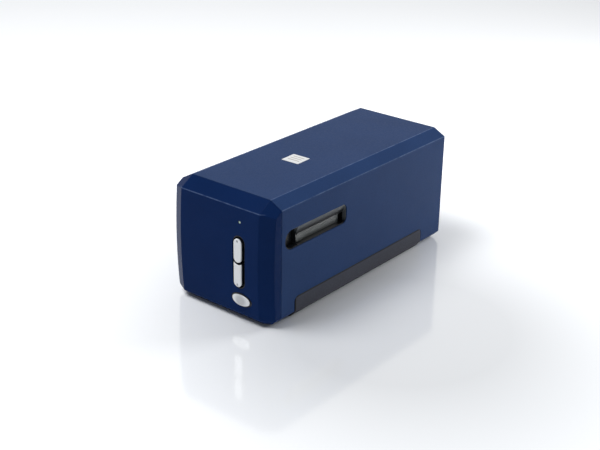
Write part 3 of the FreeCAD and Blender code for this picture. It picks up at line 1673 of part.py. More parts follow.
def make_board_components():
    """Processor, memory, power coil and two capacitors on the main board."""
    chip_y = main_board_front + 5 * chip_half
    chip_x = cable_x - cable_width / 2 - 2 * chip_half
    z = board_top_z
    parts = [block(chip_x - chip_half, chip_x + chip_half, chip_y - chip_half, chip_y + chip_half,
                   z, z + chip_thick)]
    memory_y = chip_y + chip_half + 2 * small_half
    parts.append(block(chip_x - small_half, chip_x + small_half, memory_y - small_half,
                       memory_y + small_half, z, z + chip_thick))
    can_y = chip_y + 3 * chip_half
    for number in (0, 1):
        x = chip_x + chip_half - number * 3 * can_r
        parts.append(rod_along_z(can_r, z, z + can_height, x, can_y + chip_half))
    coil_x = chip_half + 2 * coil_half
    parts.append(block(coil_x - coil_half, coil_x + coil_half, can_y - coil_half, can_y + coil_half,
                       z, z + coil_height))
    return group(parts)


def make_usb_socket():
    y0 = socket_rear_y - usb_length
    z = board_top_z
    half = usb_width / 2
    body = block(usb_x - half, usb_x + half, y0, socket_rear_y, z, z + usb_height)
    mid_z = z + usb_height / 2
    hole = block(usb_x - usb_hole_width / 2, usb_x + usb_hole_width / 2, socket_rear_y - usb_hole_depth,
                 socket_rear_y + cut_over, mid_z - usb_hole_height / 2, mid_z + usb_hole_height / 2)
    tongue = block(usb_x - usb_tongue_width / 2, usb_x + usb_tongue_width / 2,
                   socket_rear_y - usb_hole_depth - cut_over, socket_rear_y - socket_out,
                   mid_z - usb_tongue_height / 2, mid_z + usb_tongue_height / 2)
    return body.cut(hole).fuse(tongue).removeSplitter()


def make_dc_jack():
    y0 = socket_rear_y - jack_length
    z = board_top_z
    half = jack_width / 2
    body = block(jack_x - half, jack_x + half, y0, socket_rear_y, z, z + jack_height)
    mid_z = z + jack_height / 2
    bore = rod_along_y(jack_r, socket_rear_y - jack_depth, socket_rear_y + cut_over, jack_x, mid_z)
    pin = rod_along_y(jack_pin_r, socket_rear_y - jack_depth - cut_over, socket_rear_y - socket_out,
                      jack_x, mid_z)
    return body.cut(bore).fuse(pin).removeSplitter()


def make_flat_cable():
    """Ribbon from a connector on the main board, round one loose bend, to the sensor board."""
    connector_y = main_board_front + standoff_inset
    low_z = board_top_z + cable_connector_height / 2
    sensor_face_y = carriage_y1 + board_thick
    high_z = axis_z - sensor_board_z / 2 + cable_connector_height
    x0 = cable_x - cable_width / 2
    y_bend = sensor_face_y + cable_connector_depth + 2 * cable_bend_r
    t = cable_thick
    y_start = connector_y - 2 * cable_bend_r
    wide = along_x * cable_width
    r = cable_bend_r
    loop = rounded_prism(on_side(x0), y_start, y_bend, low_z, high_z, r, r, wide)
    core = rounded_prism(on_side(x0), y_start + t, y_bend - t, low_z + t, high_z - t, r - t, r - t, wide)
    loop = loop.cut(core)
    x1 = x0 + cable_width
    middle_z = (low_z + high_z) / 2
    loop = loop.cut(block(x0 - t, x1 + t, y_start - t, connector_y, low_z - t, high_z + t))
    sensor_end_y = sensor_face_y + cable_connector_depth
    ribbon = loop.cut(block(x0 - t, x1 + t, connector_y - t, sensor_end_y, middle_z, high_z + t))
    ends = [block(x0 - t, x1 + t, connector_y - cable_connector_depth, connector_y,
                  board_top_z, board_top_z + cable_connector_height),
            block(x0 - t, x1 + t, sensor_face_y, sensor_end_y,
                  high_z - cable_connector_height + t, high_z + t)]
    return ribbon.fuse(ends).removeSplitter()


def make_inner_screws():
    screws = []
    down = along_z * -1
    for x, y in leg_places():
        screws.append(small_screw(at(x, y, floor_z + foot_boss_height + leg_foot_thick), down))
    for x, y in standoff_places():
        screws.append(small_screw(at(x, y, board_top_z), down))
    for x, y in guide_screw_places():
        screws.append(small_screw(at(x, y, upper_guide_z), down))
    for x, z in board_post_places():
        screws.append(small_screw(at(x, board_y + board_thick, z), along_y * -1))
    for x, z in motor_screw_places():
        screws.append(small_screw(at(x, chassis_rear_y - chassis_plate - motor_flange_thick, z), along_y))
    return group(screws)


def main():
    os.makedirs("parts", exist_ok=True)
    save("top_cover", make_top_cover())
    save("bottom_tray", make_bottom_tray())
    save("front_bezel", make_front_bezel())
    save("rear_panel", make_rear_panel())
    rail = make_rubber_rail()
    save("right_rubber_rail", rail)
    save("left_rubber_rail", mirrored(rail))
    save("right_slot_frame", make_slot_frame(mouth_high_z))
    save("left_slot_frame", mirrored(make_slot_frame(collar_high_z)))
    save("top_label", make_top_label())
    save("case_screws", make_case_screws())
    save("button_surround", make_button_surround())
    save("power_button_ring", make_power_ring())
    save("led_lens", make_led_lens())
    save("front_button_board", make_button_board())
    save("tact_switches", make_tact_switches())
    save("indicator_led", make_indicator_led())
    save("upper_scan_button", make_upper_button())
    save("lower_scan_button", make_lower_button())
    save("power_button", make_power_button())
    save("upper_switch_plunger", plunger(column_x, stem_z_upper))
    save("lower_switch_plunger", plunger(column_x, stem_z_lower))
    save("power_switch_plunger", plunger(power_x, power_z))
    flap = make_flap()
    save("right_dust_flap", flap)
    save("left_dust_flap", mirrored(flap))
    pin = make_flap_pin()
    save("right_flap_pin", pin)
    save("left_flap_pin", mirrored(pin))
    spring = make_flap_spring()
    save("right_flap_spring", spring)
    save("left_flap_spring", mirrored(spring))
    save("film_guide_lower", make_guide_lower())
    save("film_guide_upper", make_guide_upper())
    save("detent_spring", make_detent_spring())
    save("lamp_housing", make_lamp_housing())
    save("lamp_board", make_lamp_board())
    save("lamp_leds", make_lamp_leds())
    save("lamp_diffuser", make_lamp_diffuser())
    save("optics_chassis", make_chassis())
    rod = make_guide_rod()
    save("right_guide_rod", rod)
    save("left_guide_rod", mirrored(rod))
    save("rod_clips", make_rod_clips())
    save("stepper_motor", make_stepper_motor())
    save("motor_pinion", make_motor_pinion())
    save("drive_gear", make_drive_gear())
    save("lead_screw", make_lead_screw())
    save("screw_bearings", make_screw_bearings())
    save("drive_nut", make_drive_nut())
    save("home_sensor", make_home_sensor())
    save("carriage_body", make_carriage_body())
    save("rod_bushes", make_rod_bushes())
    save("fold_mirror", make_fold_mirror())
    save("lens_barrel", make_lens_barrel())
    save("lens_glass", make_lens_glass())
    save("lens_clamp", make_lens_clamp())
    save("sensor_board", make_sensor_board())
    save("image_sensor", make_image_sensor())
    save("main_board", make_main_board())
    save("board_components", make_board_components())
    save("usb_socket", make_usb_socket())
    save("dc_jack", make_dc_jack())
    save("flat_cable", make_flat_cable())
    save("inner_screws", make_inner_screws())


main()
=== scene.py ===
"""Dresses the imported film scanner: a finish for every piece, wound springs and a plain studio.

Metres. +Z is up, the front face looks along -Y and the film goes in from the right, +X.
"""
import bmesh
import bpy
import math
from bpy.props import FloatProperty, FloatVectorProperty, IntProperty, PointerProperty
from mathutils import Matrix, Quaternion, Vector


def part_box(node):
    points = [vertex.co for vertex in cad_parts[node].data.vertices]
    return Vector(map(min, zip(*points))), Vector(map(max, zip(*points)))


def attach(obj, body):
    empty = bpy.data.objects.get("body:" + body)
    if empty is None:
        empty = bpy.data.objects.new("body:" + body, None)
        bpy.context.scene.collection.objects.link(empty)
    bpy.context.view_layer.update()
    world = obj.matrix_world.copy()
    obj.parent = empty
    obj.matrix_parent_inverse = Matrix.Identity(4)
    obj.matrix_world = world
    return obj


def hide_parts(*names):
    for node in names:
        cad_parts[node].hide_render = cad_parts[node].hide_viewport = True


bl_info = {
    "name": "Film Scanner",
    "version": (1, 0, 0),
    "blender": (4, 5, 0),
    "location": "View3D > Sidebar > Film Scanner",
    "description": "Finishes, wound flap springs and a studio for a desktop film scanner",
    "category": "Object",
}

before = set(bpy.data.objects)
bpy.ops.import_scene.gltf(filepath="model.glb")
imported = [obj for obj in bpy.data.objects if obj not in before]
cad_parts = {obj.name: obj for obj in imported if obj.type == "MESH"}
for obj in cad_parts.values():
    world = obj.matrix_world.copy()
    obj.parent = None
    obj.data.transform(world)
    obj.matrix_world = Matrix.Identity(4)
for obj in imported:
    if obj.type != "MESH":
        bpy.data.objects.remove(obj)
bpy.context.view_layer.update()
MM = 0.001
SAME_PLACE = 1e-7  # vertices nearer than this become one
# Most values of a noise texture lie between these two
NOISE_LOW = 0.3
NOISE_HIGH = 0.7


def srgb(code):
    """Linear colour of a hex code."""
    values = [int(code[i:i + 2], 16) / 255 for i in (0, 2, 4)]
    return tuple(v / 12.92 if v <= 0.04045 else ((v + 0.055) / 1.055) ** 2.4 for v in values)


def colour(name, code):
    return FloatVectorProperty(name=name, description=name + ", linear", subtype="COLOR",
                               size=3, min=0, max=1, default=srgb(code))


def length(name, description, millimetres):
    return FloatProperty(name=name, description=description, default=millimetres * MM,
                         subtype="DISTANCE", unit="LENGTH")


def number(name, description, value):
    return FloatProperty(name=name, description=description, default=value)


def angle(name, description, degrees):
    return FloatProperty(name=name, description=description, default=math.radians(degrees),
                         subtype="ANGLE")


def power(name, description, watts):
    return FloatProperty(name=name, description=description, default=watts, unit="POWER")


def count(name, description, whole, least):
    return IntProperty(name=name, description=description, default=whole, min=least)


def position(name, place):
    return FloatVectorProperty(name=name, description=name + ", in metres", subtype="XYZ",
                               unit="LENGTH", default=place)


class ScannerColours(bpy.types.PropertyGroup):
    """Colours of the scanner's visible materials."""
    casing: colour("Casing paint", "24395E")
    casing_fleck: colour("Pearl in the casing paint", "30497C")
    # Painted highlight: the lighter colour drawn along the casing's and the bezel's edges
    highlighted: colour("Casing paint where an edge is rubbed", "5D7096")
    bezel: colour("Bezel", "0E254F")
    bezel_depth: colour("Second tone of the bezel", "142A58")
    silver: colour("Silver paint of the buttons", "E4E7EB")
    # Darker silver towards the middle of the power button
    power_silver: colour("Silver paint in the power button's dish", "BFC1C4")
    # Painted shade in the dimples of the scan buttons
    dimple: colour("Silver paint in a dimple", "A4A7AB")
    surround: colour("Dark plastic round the buttons", "14171F")
    slot_frame: colour("Slot frame", "0F1114")
    # Painted reflection: the grey drawn on the slot frame's upper and rear bevel
    slot_band_reflection: colour("Polished bevel of the slot frame", "525659")
    flap: colour("Dust flap", "1B2323")
    rubber: colour("Rubber rails", "2D2F39")
    paper: colour("Label paper", "E4E5E6")
    print_ink: colour("Printed bars on the label", "A79F92")
    steel: colour("Ground steel", "B4B7BA")
    zinc: colour("Zinc plated sheet", "9FA3A6")
    brass: colour("Brass", "B9975A")
    board: colour("Solder mask", "1F5A3A")
    board_trace: colour("Tracks under the solder mask", "2E7A50")
    black: colour("Black plastic", "1B1C1F")
    anodised: colour("Black anodising", "26272A")
    nickel: colour("Nickel plating", "C4C6C8")
    opal: colour("Opal plastic", "F2F2EE")
    led_glow: colour("Status light", "A9C4B8")
    ribbon: colour("Flat cable", "D9D6CC")
    ribbon_core: colour("Conductors in the flat cable", "9A9C9E")
    glass: colour("Glass", "E4EDEF")
    silvering: colour("Mirror silvering", "D8DCDE")
    studio: colour("Floor", "EDEFF2")


class ScannerGrain(bpy.types.PropertyGroup):
    """Real sizes and shares of the patterns in the finishes."""
    paint_peel: length("Paint peel", "Width of one ripple in the paint, drawn coarse to show", 1.6)
    pearl: length("Pearl fleck", "Width of a pearl fleck, drawn coarse to show", 0.9)
    mottle: length("Mottle", "Width of the soft light and dark areas of a moulding", 45.0)
    spark: length("Spark texture", "Grain of a spark-eroded mould", 0.8)
    brush: length("Brush line", "Width of a grinding line in metal", 0.25)
    spangle: length("Zinc spangle", "Width of a crystal in the zinc plating", 6.0)
    track: length("Track pitch", "Distance between the tracks of a circuit board", 1.9)
    track_height: length("Track height", "Height of a track or conductor in its film", 0.05)
    fibre_height: length("Paper fibre", "Height of the label paper's fibre", 0.1)
    wave_height: length("Glass wave", "Height of the waviness of clear mouldings", 0.2)
    conductor: length("Conductor pitch", "Distance between the flat cable's conductors", 1.0)
    conductor_share: number("Conductor share", "Share of the pitch that a conductor fills", 0.6)


class ScannerDetail(bpy.types.PropertyGroup):
    """Sizes of the edges, bands and prints that the finishes draw, and of the flap springs."""
    top_cut_across: length("Top chamfer across", "Width of the casing's top chamfer", 13.0)
    top_cut_down: length("Top chamfer down", "Height of the casing's top chamfer", 6.8)
    face_top_down: length("Bezel top chamfer", "Height of the chamfer over the front face", 9.2)
    face_bow: length("Face bow", "How far the front face stands out in its middle", 2.4)
    # Width and stretch of the painted highlight along an edge
    highlight_width: length("Rubbed edge", "Width of the lighter line along an edge, coarse to show", 0.8)
    highlight_stretch: length("Rubbed stretch", "Length over which a rubbed edge changes", 9.0)
    # Painted shade: behind this depth a button's sides take the dark surround colour
    side_shade_depth: length("Cap edge", "Depth to which a button's cap is painted", 1.0)
    dimple_in: length("Dimple inset", "Distance of a dimple from the end of its button", 4.2)
    dimple_width: length("Dimple", "Width of a dimple", 3.0)
    # Width of the darker silver in the middle of the power button
    power_middle: length("Power button's dish", "Width of the power button's duller middle", 15.0)
    band_down: length("Slot bevel height", "From the flange's top down to the band's end", 4.6)
    band_ahead: length("Slot bevel start", "From the flange's front to the band's front end", 9.0)
    band_behind: length("Slot bevel end", "From the flange's rear to the mouth's rear end", 3.1)
    band_fade: length("Slot bevel fade", "Length over which the light band fades", 4.0)
    band_soft: length("Slot bevel soft edge", "Width over which the light band begins", 0.5)
    band_depth: length("Slot bevel depth", "Depth of the bevel under the frame's outer face", 3.3)
    # Painted shadow line round a rail's top and front edges
    rail_shadow_line: length("Rail groove", "Width of the dark line round a rail's edge", 0.8)
    light_width: length("Status light", "Width of the lit spot in its lens", 2.0)
    light_glow: number("Status light glow", "Strength of the status light", 0.15)
    spring_wire: length("Spring wire", "Diameter of the flap spring's wire", 0.5)
    spring_turns: count("Spring turns", "Full turns of a flap spring", 6, 2)
    spring_sides: count("Spring wire sides", "Sides of the wire's section", 10, 6)
    spring_steps: count("Spring steps", "Steps in a quarter turn of the wire", 4, 2)
    label_bar: length("Label bar height", "Height of a printed bar", 1.7)
    label_pitch: length("Label bar pitch", "Distance between printed bars", 4.2)
    label_across: length("Label print across", "Half the length of a printed bar", 6.6)
    label_along: length("Label print along", "Half the height of the printed block", 6.2)
    label_ink: number("Label ink", "Share of the paper that a bar covers", 0.75)
    label_turn: angle("Label turn", "Turn of the label on the casing's top", 1.5)


class ScannerStudio(bpy.types.PropertyGroup):
    """Camera, lights, floor and the light all round."""
    target: position("Camera target", (-0.03565, 0.02427, 0.02387))
    azimuth: angle("Azimuth", "Turn of the camera round the scanner", 39.03)
    elevation: angle("Elevation", "Height of the camera above the horizon", 23.96)
    roll: angle("Roll", "Roll of the camera", 0.894)
    distance: length("Distance", "Camera to target", 1200.1)
    focal: FloatProperty(name="Focal length", description="Lens in mm", default=70.64,
                         subtype="DISTANCE_CAMERA", unit="CAMERA")
    sensor: number("Sensor width", "Width of the camera's frame in mm", 36.0)
    key_power: power("Key light", "Power of the light above, on the left", 19.5)
    key_size: length("Key size", "Side of the key light's square", 850.0)
    key_place: position("Key place", (-0.45, -0.6, 1.5))
    fill_power: power("Fill light", "Power of the light behind, on the right", 5.0)
    fill_size: length("Fill size", "Side of the fill light's square", 450.0)
    fill_place: position("Fill place", (0.5, 0.75, 0.45))
    light_aim: position("Light aim", (0, 0, 0.05))
    ambient: number("Ambient", "Strength of the studio's own light", 0.22)
    ambient_tint: FloatVectorProperty(name="Ambient tint", description="Its colour, linear",
                                      subtype="COLOR", size=3, min=0, max=1,
                                      default=(0.95, 0.98, 1.0))
    ceiling: number("Ceiling", "Brightness of the ceiling that gloss mirrors", 0.35)
    wall_top: number("Wall top", "Upward share of a direction where the wall begins to dim", 0.3)
    ceiling_edge: number("Ceiling edge", "Upward share where the ceiling begins", 0.65)
    floor_half: length("Floor", "Half the side of the floor", 12000.0)
    floor_cloud: length("Floor cloud", "Width of the floor's faint unevenness", 1000 / 3)
    floor_mottle: number("Floor mottle", "Strength of the floor's faint unevenness", 0.01)
    floor_gloss: number("Floor gloss", "Roughness of the floor's mirror image", 0.1)
    floor_ior: number("Floor IOR", "Index that sets how much the floor mirrors", 2.3)
    # Painted shadow: the floor is drawn darker round the scanner
    floor_in_shade: number("Floor near", "Brightness of the floor by the scanner", 1.0)
    floor_far: number("Floor far", "Brightness of the floor away from the scanner", 1.8)
    shade_centre: position("Middle of the floor's darker part", (0.14, -0.05, 0))
    shade_inner: length("Shade inner", "Radius within which the floor is darkest", 100.0)
    shade_outer: length("Shade outer", "Radius beyond which the floor is brightest", 340.0)


def settings(group):
    return getattr(bpy.context.scene, "scanner_" + group)


def add(tree, kind, sockets=None, **options):
    """Adds one node with its options, and gives each named socket its value or its link.

    A link comes from a socket, or from a node's first output that is in use.
    """
    node = tree.nodes.new(kind)
    for name, value in options.items():
        setattr(node, name, value)
    for name, value in (sockets or {}).items():
        socket = node.inputs[name]
        if isinstance(value, bpy.types.Node):
            value = next(output for output in value.outputs if output.enabled)
        if isinstance(value, bpy.types.NodeSocket):
            tree.links.new(value, socket)
        elif socket.type == "RGBA" and len(value) == 3:
            socket.default_value = (*value, 1)
        else:
            socket.default_value = value
    return node


def start_material(name):
    """An empty material, its tree, and the socket with a piece's own coordinates."""
    material = bpy.data.materials.new(name)
    material.use_nodes = True
    tree = material.node_tree
    tree.nodes.clear()
    place = add(tree, "ShaderNodeTexCoord").outputs["Object"]
    return material, tree, place


def end_material(material, tree, sockets):
    """Closes a material with one principled surface."""
    shader = add(tree, "ShaderNodeBsdfPrincipled", sockets)
    add(tree, "ShaderNodeOutputMaterial", {"Surface": shader})
    return material


def seen_rays(tree):
    """One for rays from the camera, gloss or clear plastic, nought for rays that only light."""
    path = add(tree, "ShaderNodeLightPath")
    seen = 0.0
    for ray in ("Is Camera Ray", "Is Glossy Ray", "Is Transmission Ray"):
        seen = add(tree, "ShaderNodeMath", {0: seen, 1: path.outputs[ray]}, operation="MAXIMUM")
    return seen


def near(tree, place, weights, points, inner, outer):
    """One within the inner distance of any of the points, nought past the outer distance.

    The weights stretch or take out an axis, and places and points count without their signs.
    """
    positive = add(tree, "ShaderNodeVectorMath", {0: place}, operation="ABSOLUTE")
    across = add(tree, "ShaderNodeVectorMath", {0: positive, 1: weights}, operation="MULTIPLY")
    total = 0.0
    for point in points:
        weighed = [abs(value) * weight for value, weight in zip(point, weights)]
        away = add(tree, "ShaderNodeVectorMath", {0: across, 1: weighed}, operation="DISTANCE")
        band = add(tree, "ShaderNodeMapRange",
                   {"Value": away, "From Min": outer, "From Max": inner})
        total = add(tree, "ShaderNodeMath", {0: total, 1: band}, operation="MAXIMUM")
    return total


def highlight_edges(tree, place, weights, edges, width):
    """Share of a painted highlight: nought away from the edges, and along them a share that is
    uneven.
    """
    patches = add(tree, "ShaderNodeTexNoise",
                  {"Vector": place, "Scale": 1 / settings("detail").highlight_stretch, "Detail": 3.0,
                   "Roughness": 0.7})
    uneven = add(tree, "ShaderNodeMapRange",
                 {"Value": patches, "From Min": 0.3, "From Max": 0.65, "To Min": 0.12,
                  "To Max": 0.7})
    line = near(tree, place, weights, edges, width * 0.3, width)
    return add(tree, "ShaderNodeMath", {0: line, 1: uneven}, operation="MULTIPLY")


def lighter(shade, gain, lift=0.0):
    return [value * gain + lift for value in shade]


def moulded(name, base, fleck, fleck_size, ripple_size, roughness, level, bump=0.04, mottle=0.10,
            coat=0.0, marks=()):
    """Plastic with a fine moulded or painted surface: flecks, mottle, a ripple in its gloss.

    Each mark is a colour and a function that gives the share of it at a place.
    """
    material, tree, place = start_material(name)
    wide = add(tree, "ShaderNodeTexNoise",
               {"Vector": place, "Scale": 1 / settings("grain").mottle, "Detail": 2.0,
                "Roughness": 0.5})
    fine = add(tree, "ShaderNodeTexNoise",
               {"Vector": place, "Scale": 1 / fleck_size, "Detail": 3.0, "Roughness": 0.7})
    ripple = add(tree, "ShaderNodeTexNoise",
                 {"Vector": place, "Scale": 1 / ripple_size, "Detail": 2.0, "Roughness": 0.5})
    amount = add(tree, "ShaderNodeMapRange",
                 {"Value": fine, "From Min": 0.35, "From Max": 0.75, "To Min": 0.0,
                  "To Max": 0.45})
    flecked = add(tree, "ShaderNodeMix", {"Factor": amount, "A": base, "B": fleck},
                  data_type="RGBA")
    shade = add(tree, "ShaderNodeMapRange",
                {"Value": wide, "From Min": NOISE_LOW, "From Max": NOISE_HIGH,
                 "To Min": 1 - mottle, "To Max": 1 + mottle})
    tint = add(tree, "ShaderNodeVectorMath", {0: flecked, 1: shade}, operation="MULTIPLY")
    for mark, where in marks:
        tint = add(tree, "ShaderNodeMix", {"Factor": where(tree, place), "A": tint, "B": mark},
                   data_type="RGBA")
    rough = add(tree, "ShaderNodeMapRange",
                {"Value": ripple, "From Min": NOISE_LOW, "From Max": NOISE_HIGH,
                 "To Min": roughness * 0.88, "To Max": roughness * 1.12})
    bumps = add(tree, "ShaderNodeBump",
                {"Height": ripple, "Strength": bump, "Distance": ripple_size / 4})
    return end_material(material, tree, {
        "Base Color": tint, "Roughness": rough, "Specular IOR Level": level,
        "Coat Weight": coat, "Coat Roughness": 0.08, "Normal": bumps})


def metal(name, base, roughness, stretch=(1, 1, 1), line=None, bump=0.03):
    """Metal with fine lines, drawn out along the axis whose stretch is small."""
    line = line or settings("grain").brush
    material, tree, place = start_material(name)
    drawn = add(tree, "ShaderNodeMapping", {"Vector": place, "Scale": stretch})
    lines = add(tree, "ShaderNodeTexNoise",
                {"Vector": drawn, "Scale": 1 / line, "Detail": 3.0, "Roughness": 0.6})
    rough = add(tree, "ShaderNodeMapRange",
                {"Value": lines, "From Min": NOISE_LOW, "From Max": NOISE_HIGH,
                 "To Min": roughness * 0.75, "To Max": roughness * 1.25})
    shade = add(tree, "ShaderNodeMapRange",
                {"Value": lines, "From Min": NOISE_LOW, "From Max": NOISE_HIGH, "To Min": 0.9,
                 "To Max": 1.08})
    tint = add(tree, "ShaderNodeVectorMath", {0: base, 1: shade}, operation="MULTIPLY")
    bumps = add(tree, "ShaderNodeBump", {"Height": lines, "Strength": bump, "Distance": line})
    return end_material(material, tree, {
        "Base Color": tint, "Metallic": 1.0, "Roughness": rough, "Normal": bumps})


def pearl_paint():
    """Satin pearl paint on moulded ABS: a soft sheen, faint flecks and peel, and a painted
    highlight along the arrises.
    """
    colours, grain, detail = settings("colours"), settings("grain"), settings("detail")
    x, y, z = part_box("top_cover")[1]
    arrises = [(x - detail.top_cut_across, 0, z), (x, 0, z - detail.top_cut_down)]

    # Painted highlight along the two arrises of the top chamfer
    def highlighted(tree, place):
        return highlight_edges(tree, place, (1, 0, 1), arrises, detail.highlight_width)

    return moulded("pearl_paint", colours.casing, colours.casing_fleck, grain.pearl,
                   grain.paint_peel, roughness=0.42, level=0.04, bump=0.05, mottle=0.05,
                   marks=[(colours.highlighted, highlighted)])


def gloss_abs():
    """High-gloss ABS from a polished mould: deep colour, clear edges, a faint long ripple, and a
    painted highlight along the face's top edge.
    """
    colours, grain, detail = settings("colours"), settings("grain"), settings("detail")
    face_y = -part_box("front_bezel")[0][1] - detail.face_bow / 2
    top_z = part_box("top_cover")[1][2] - detail.face_top_down

    # Painted highlight along the front face's top edge
    def highlighted(tree, place):
        return highlight_edges(tree, place, (0, 0.1, 1), [(0, face_y, top_z)], detail.highlight_width * 0.7)

    return moulded("gloss_abs", colours.bezel, colours.bezel_depth, grain.pearl,
                   grain.paint_peel * 4, roughness=0.2, level=0.018, bump=0.01, mottle=0.06,
                   marks=[(colours.highlighted, highlighted)])


def silver_paint(name, button, dimples, width, spot_tone):
    """Silver lacquer: fine flakes, painted shade on the sides under the cap, and darker spots:
    painted shade in the dimples, darker silver in the power button's middle.
    """
    colours, grain, detail = settings("colours"), settings("grain"), settings("detail")
    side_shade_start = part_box(button)[0][1] + detail.side_shade_depth

    # Painted shade on the button's sides behind the cap
    def side_shade(tree, place):
        axes = add(tree, "ShaderNodeSeparateXYZ", {"Vector": place})
        return add(tree, "ShaderNodeMapRange",
                   {"Value": axes.outputs["Y"], "From Min": side_shade_start,
                    "From Max": side_shade_start + detail.side_shade_depth / 4})

    # Painted shade in the dimples of the scan buttons; on the power button, darker silver towards
    # its middle
    def darker_spots(tree, place):
        return near(tree, place, (1, 0, 1), dimples, width * 0.25, width / 2)

    return moulded(name, colours.silver, colours.opal, grain.pearl * 0.6, grain.pearl,
                   roughness=0.3, level=0.4, bump=0.02, mottle=0.02, coat=0.15,
                   marks=[(spot_tone, darker_spots), (colours.surround, side_shade)])


def slot_abs():
    """Black ABS, dark in the finger scoop and the mouth, with a grey painted reflection on its
    outer bevel.
    """
    colours, grain, detail = settings("colours"), settings("grain"), settings("detail")
    low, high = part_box("right_slot_frame")
    under = high[0] - detail.band_depth
    over = high[2] - detail.band_down
    start = low[1] + detail.band_ahead
    end = high[1] - detail.band_behind

    # Painted reflection in grey on the upper and rear bevel
    def bevel(tree, place):
        axes = add(tree, "ShaderNodeSeparateXYZ", {"Vector": place}).outputs
        side = add(tree, "ShaderNodeMath", {0: axes["X"]}, operation="ABSOLUTE")
        stretches = ((side, under - detail.band_soft, under),
                     (axes["Z"], over - detail.band_fade, over),
                     (axes["Y"], start - detail.band_fade, start + detail.band_fade),
                     (axes["Y"], end - detail.band_soft, end))
        outer, top, front, rear = [
            add(tree, "ShaderNodeMapRange", {"Value": value, "From Min": dark, "From Max": light})
            for value, dark, light in stretches]
        upper = add(tree, "ShaderNodeMath", {0: top, 1: front}, operation="MULTIPLY")
        band = add(tree, "ShaderNodeMath", {0: upper, 1: rear}, operation="MAXIMUM")
        return add(tree, "ShaderNodeMath", {0: band, 1: outer}, operation="MULTIPLY")

    return moulded("slot_abs", colours.slot_frame, lighter(colours.slot_frame, 1.6, 0.002),
                   grain.spark, grain.spark, roughness=0.3, level=0.2, bump=0.05,
                   marks=[(colours.slot_band_reflection, bevel)])


def status_light():
    """Lens over the status light: a small pale spot in a dark holder."""
    colours, detail = settings("colours"), settings("detail")
    material, tree, place = start_material("status_light")
    spot = near(tree, place, (1, 0, 1), [centre_of("led_lens")], detail.light_width * 0.3,
                detail.light_width * 0.6)
    tint = add(tree, "ShaderNodeMix",
               {"Factor": spot, "A": colours.surround, "B": colours.led_glow}, data_type="RGBA")
    glow = add(tree, "ShaderNodeMath", {0: spot, 1: detail.light_glow}, operation="MULTIPLY")
    return end_material(material, tree, {
        "Base Color": tint, "Roughness": 0.2, "Emission Color": colours.led_glow,
        "Emission Strength": glow})


def dark_abs(name, base, roughness=0.5, level=0.3):
    """Matt ABS from a spark-eroded mould: an even fine grain and no clear reflection."""
    spark = settings("grain").spark
    return moulded(name, base, lighter(base, 1.6, 0.004), spark, spark, roughness, level, bump=0.12)


def moulded_rubber():
    """Thermoplastic rubber: dull, slightly dusty, with a coarse matt grain, a painted highlight
    along its top and a painted shadow line round its top and front edges.
    """
    colours, grain = settings("colours"), settings("grain")
    low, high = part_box("right_rubber_rail")
    width = settings("detail").rail_shadow_line

    # Painted highlight along the rail's top
    def top_highlight(tree, place):
        axes = add(tree, "ShaderNodeSeparateXYZ", {"Vector": place})
        return add(tree, "ShaderNodeMapRange",
                   {"Value": axes.outputs["Z"], "From Min": high[2] - width * 6,
                    "From Max": high[2] - width * 2})

    # Painted shadow line along the rail's top edge and front end
    def edge_shadow(tree, place):
        axes = add(tree, "ShaderNodeSeparateXYZ", {"Vector": place})
        total = 0.0
        for axis, edge, inward in (("Z", high[2], -width), ("Y", low[1], width)):
            band = add(tree, "ShaderNodeMapRange",
                       {"Value": axes.outputs[axis], "From Min": edge + inward * 1.4,
                        "From Max": edge + inward})
            total = add(tree, "ShaderNodeMath", {0: total, 1: band}, operation="MAXIMUM")
        return total

    return moulded("moulded_rubber", colours.rubber, lighter(colours.rubber, 1.9, 0.01),
                   grain.spark * 1.4, grain.spark, roughness=0.72, level=0.3, bump=0.25,
                   mottle=0.12, marks=[(lighter(colours.rubber, 1.35), top_highlight),
                                       (colours.slot_frame, edge_shadow)])


def steel_plate():
    """Zinc plated sheet: broad dull crystals that change the shade from patch to patch."""
    colours, grain = settings("colours"), settings("grain")
    material, tree, place = start_material("zinc_plated_sheet")
    crystals = add(tree, "ShaderNodeTexVoronoi", {"Vector": place, "Scale": 1 / grain.spangle})
    patch = add(tree, "ShaderNodeSeparateColor", {"Color": crystals.outputs["Color"]})
    shade = add(tree, "ShaderNodeMapRange",
                {"Value": patch.outputs["Red"], "To Min": 0.82, "To Max": 1.1})
    rough = add(tree, "ShaderNodeMapRange",
                {"Value": patch.outputs["Green"], "To Min": 0.32, "To Max": 0.5})
    tint = add(tree, "ShaderNodeVectorMath", {0: colours.zinc, 1: shade}, operation="MULTIPLY")
    return end_material(material, tree, {
        "Base Color": tint, "Metallic": 1.0, "Roughness": rough})


def solder_mask():
    """Glass epoxy board under green solder mask: raised tracks in a lighter green, a gloss film."""
    colours, grain = settings("colours"), settings("grain")
    material, tree, place = start_material("solder_mask")
    cells = add(tree, "ShaderNodeTexBrick",
                {"Vector": place, "Scale": 1 / grain.track, "Color1": (1, 1, 1),
                 "Color2": (0.4, 0.4, 0.4), "Mortar": (0, 0, 0), "Mortar Size": 0.28,
                 "Mortar Smooth": 0.1, "Brick Width": 4.0, "Row Height": 1.0}).outputs
    tint = add(tree, "ShaderNodeMix",
               {"Factor": cells["Color"], "A": colours.board, "B": colours.board_trace},
               data_type="RGBA")
    bumps = add(tree, "ShaderNodeBump",
                {"Height": cells["Fac"], "Strength": 0.3, "Distance": grain.track_height})
    return end_material(material, tree, {
        "Base Color": tint, "Roughness": 0.28, "Normal": bumps})


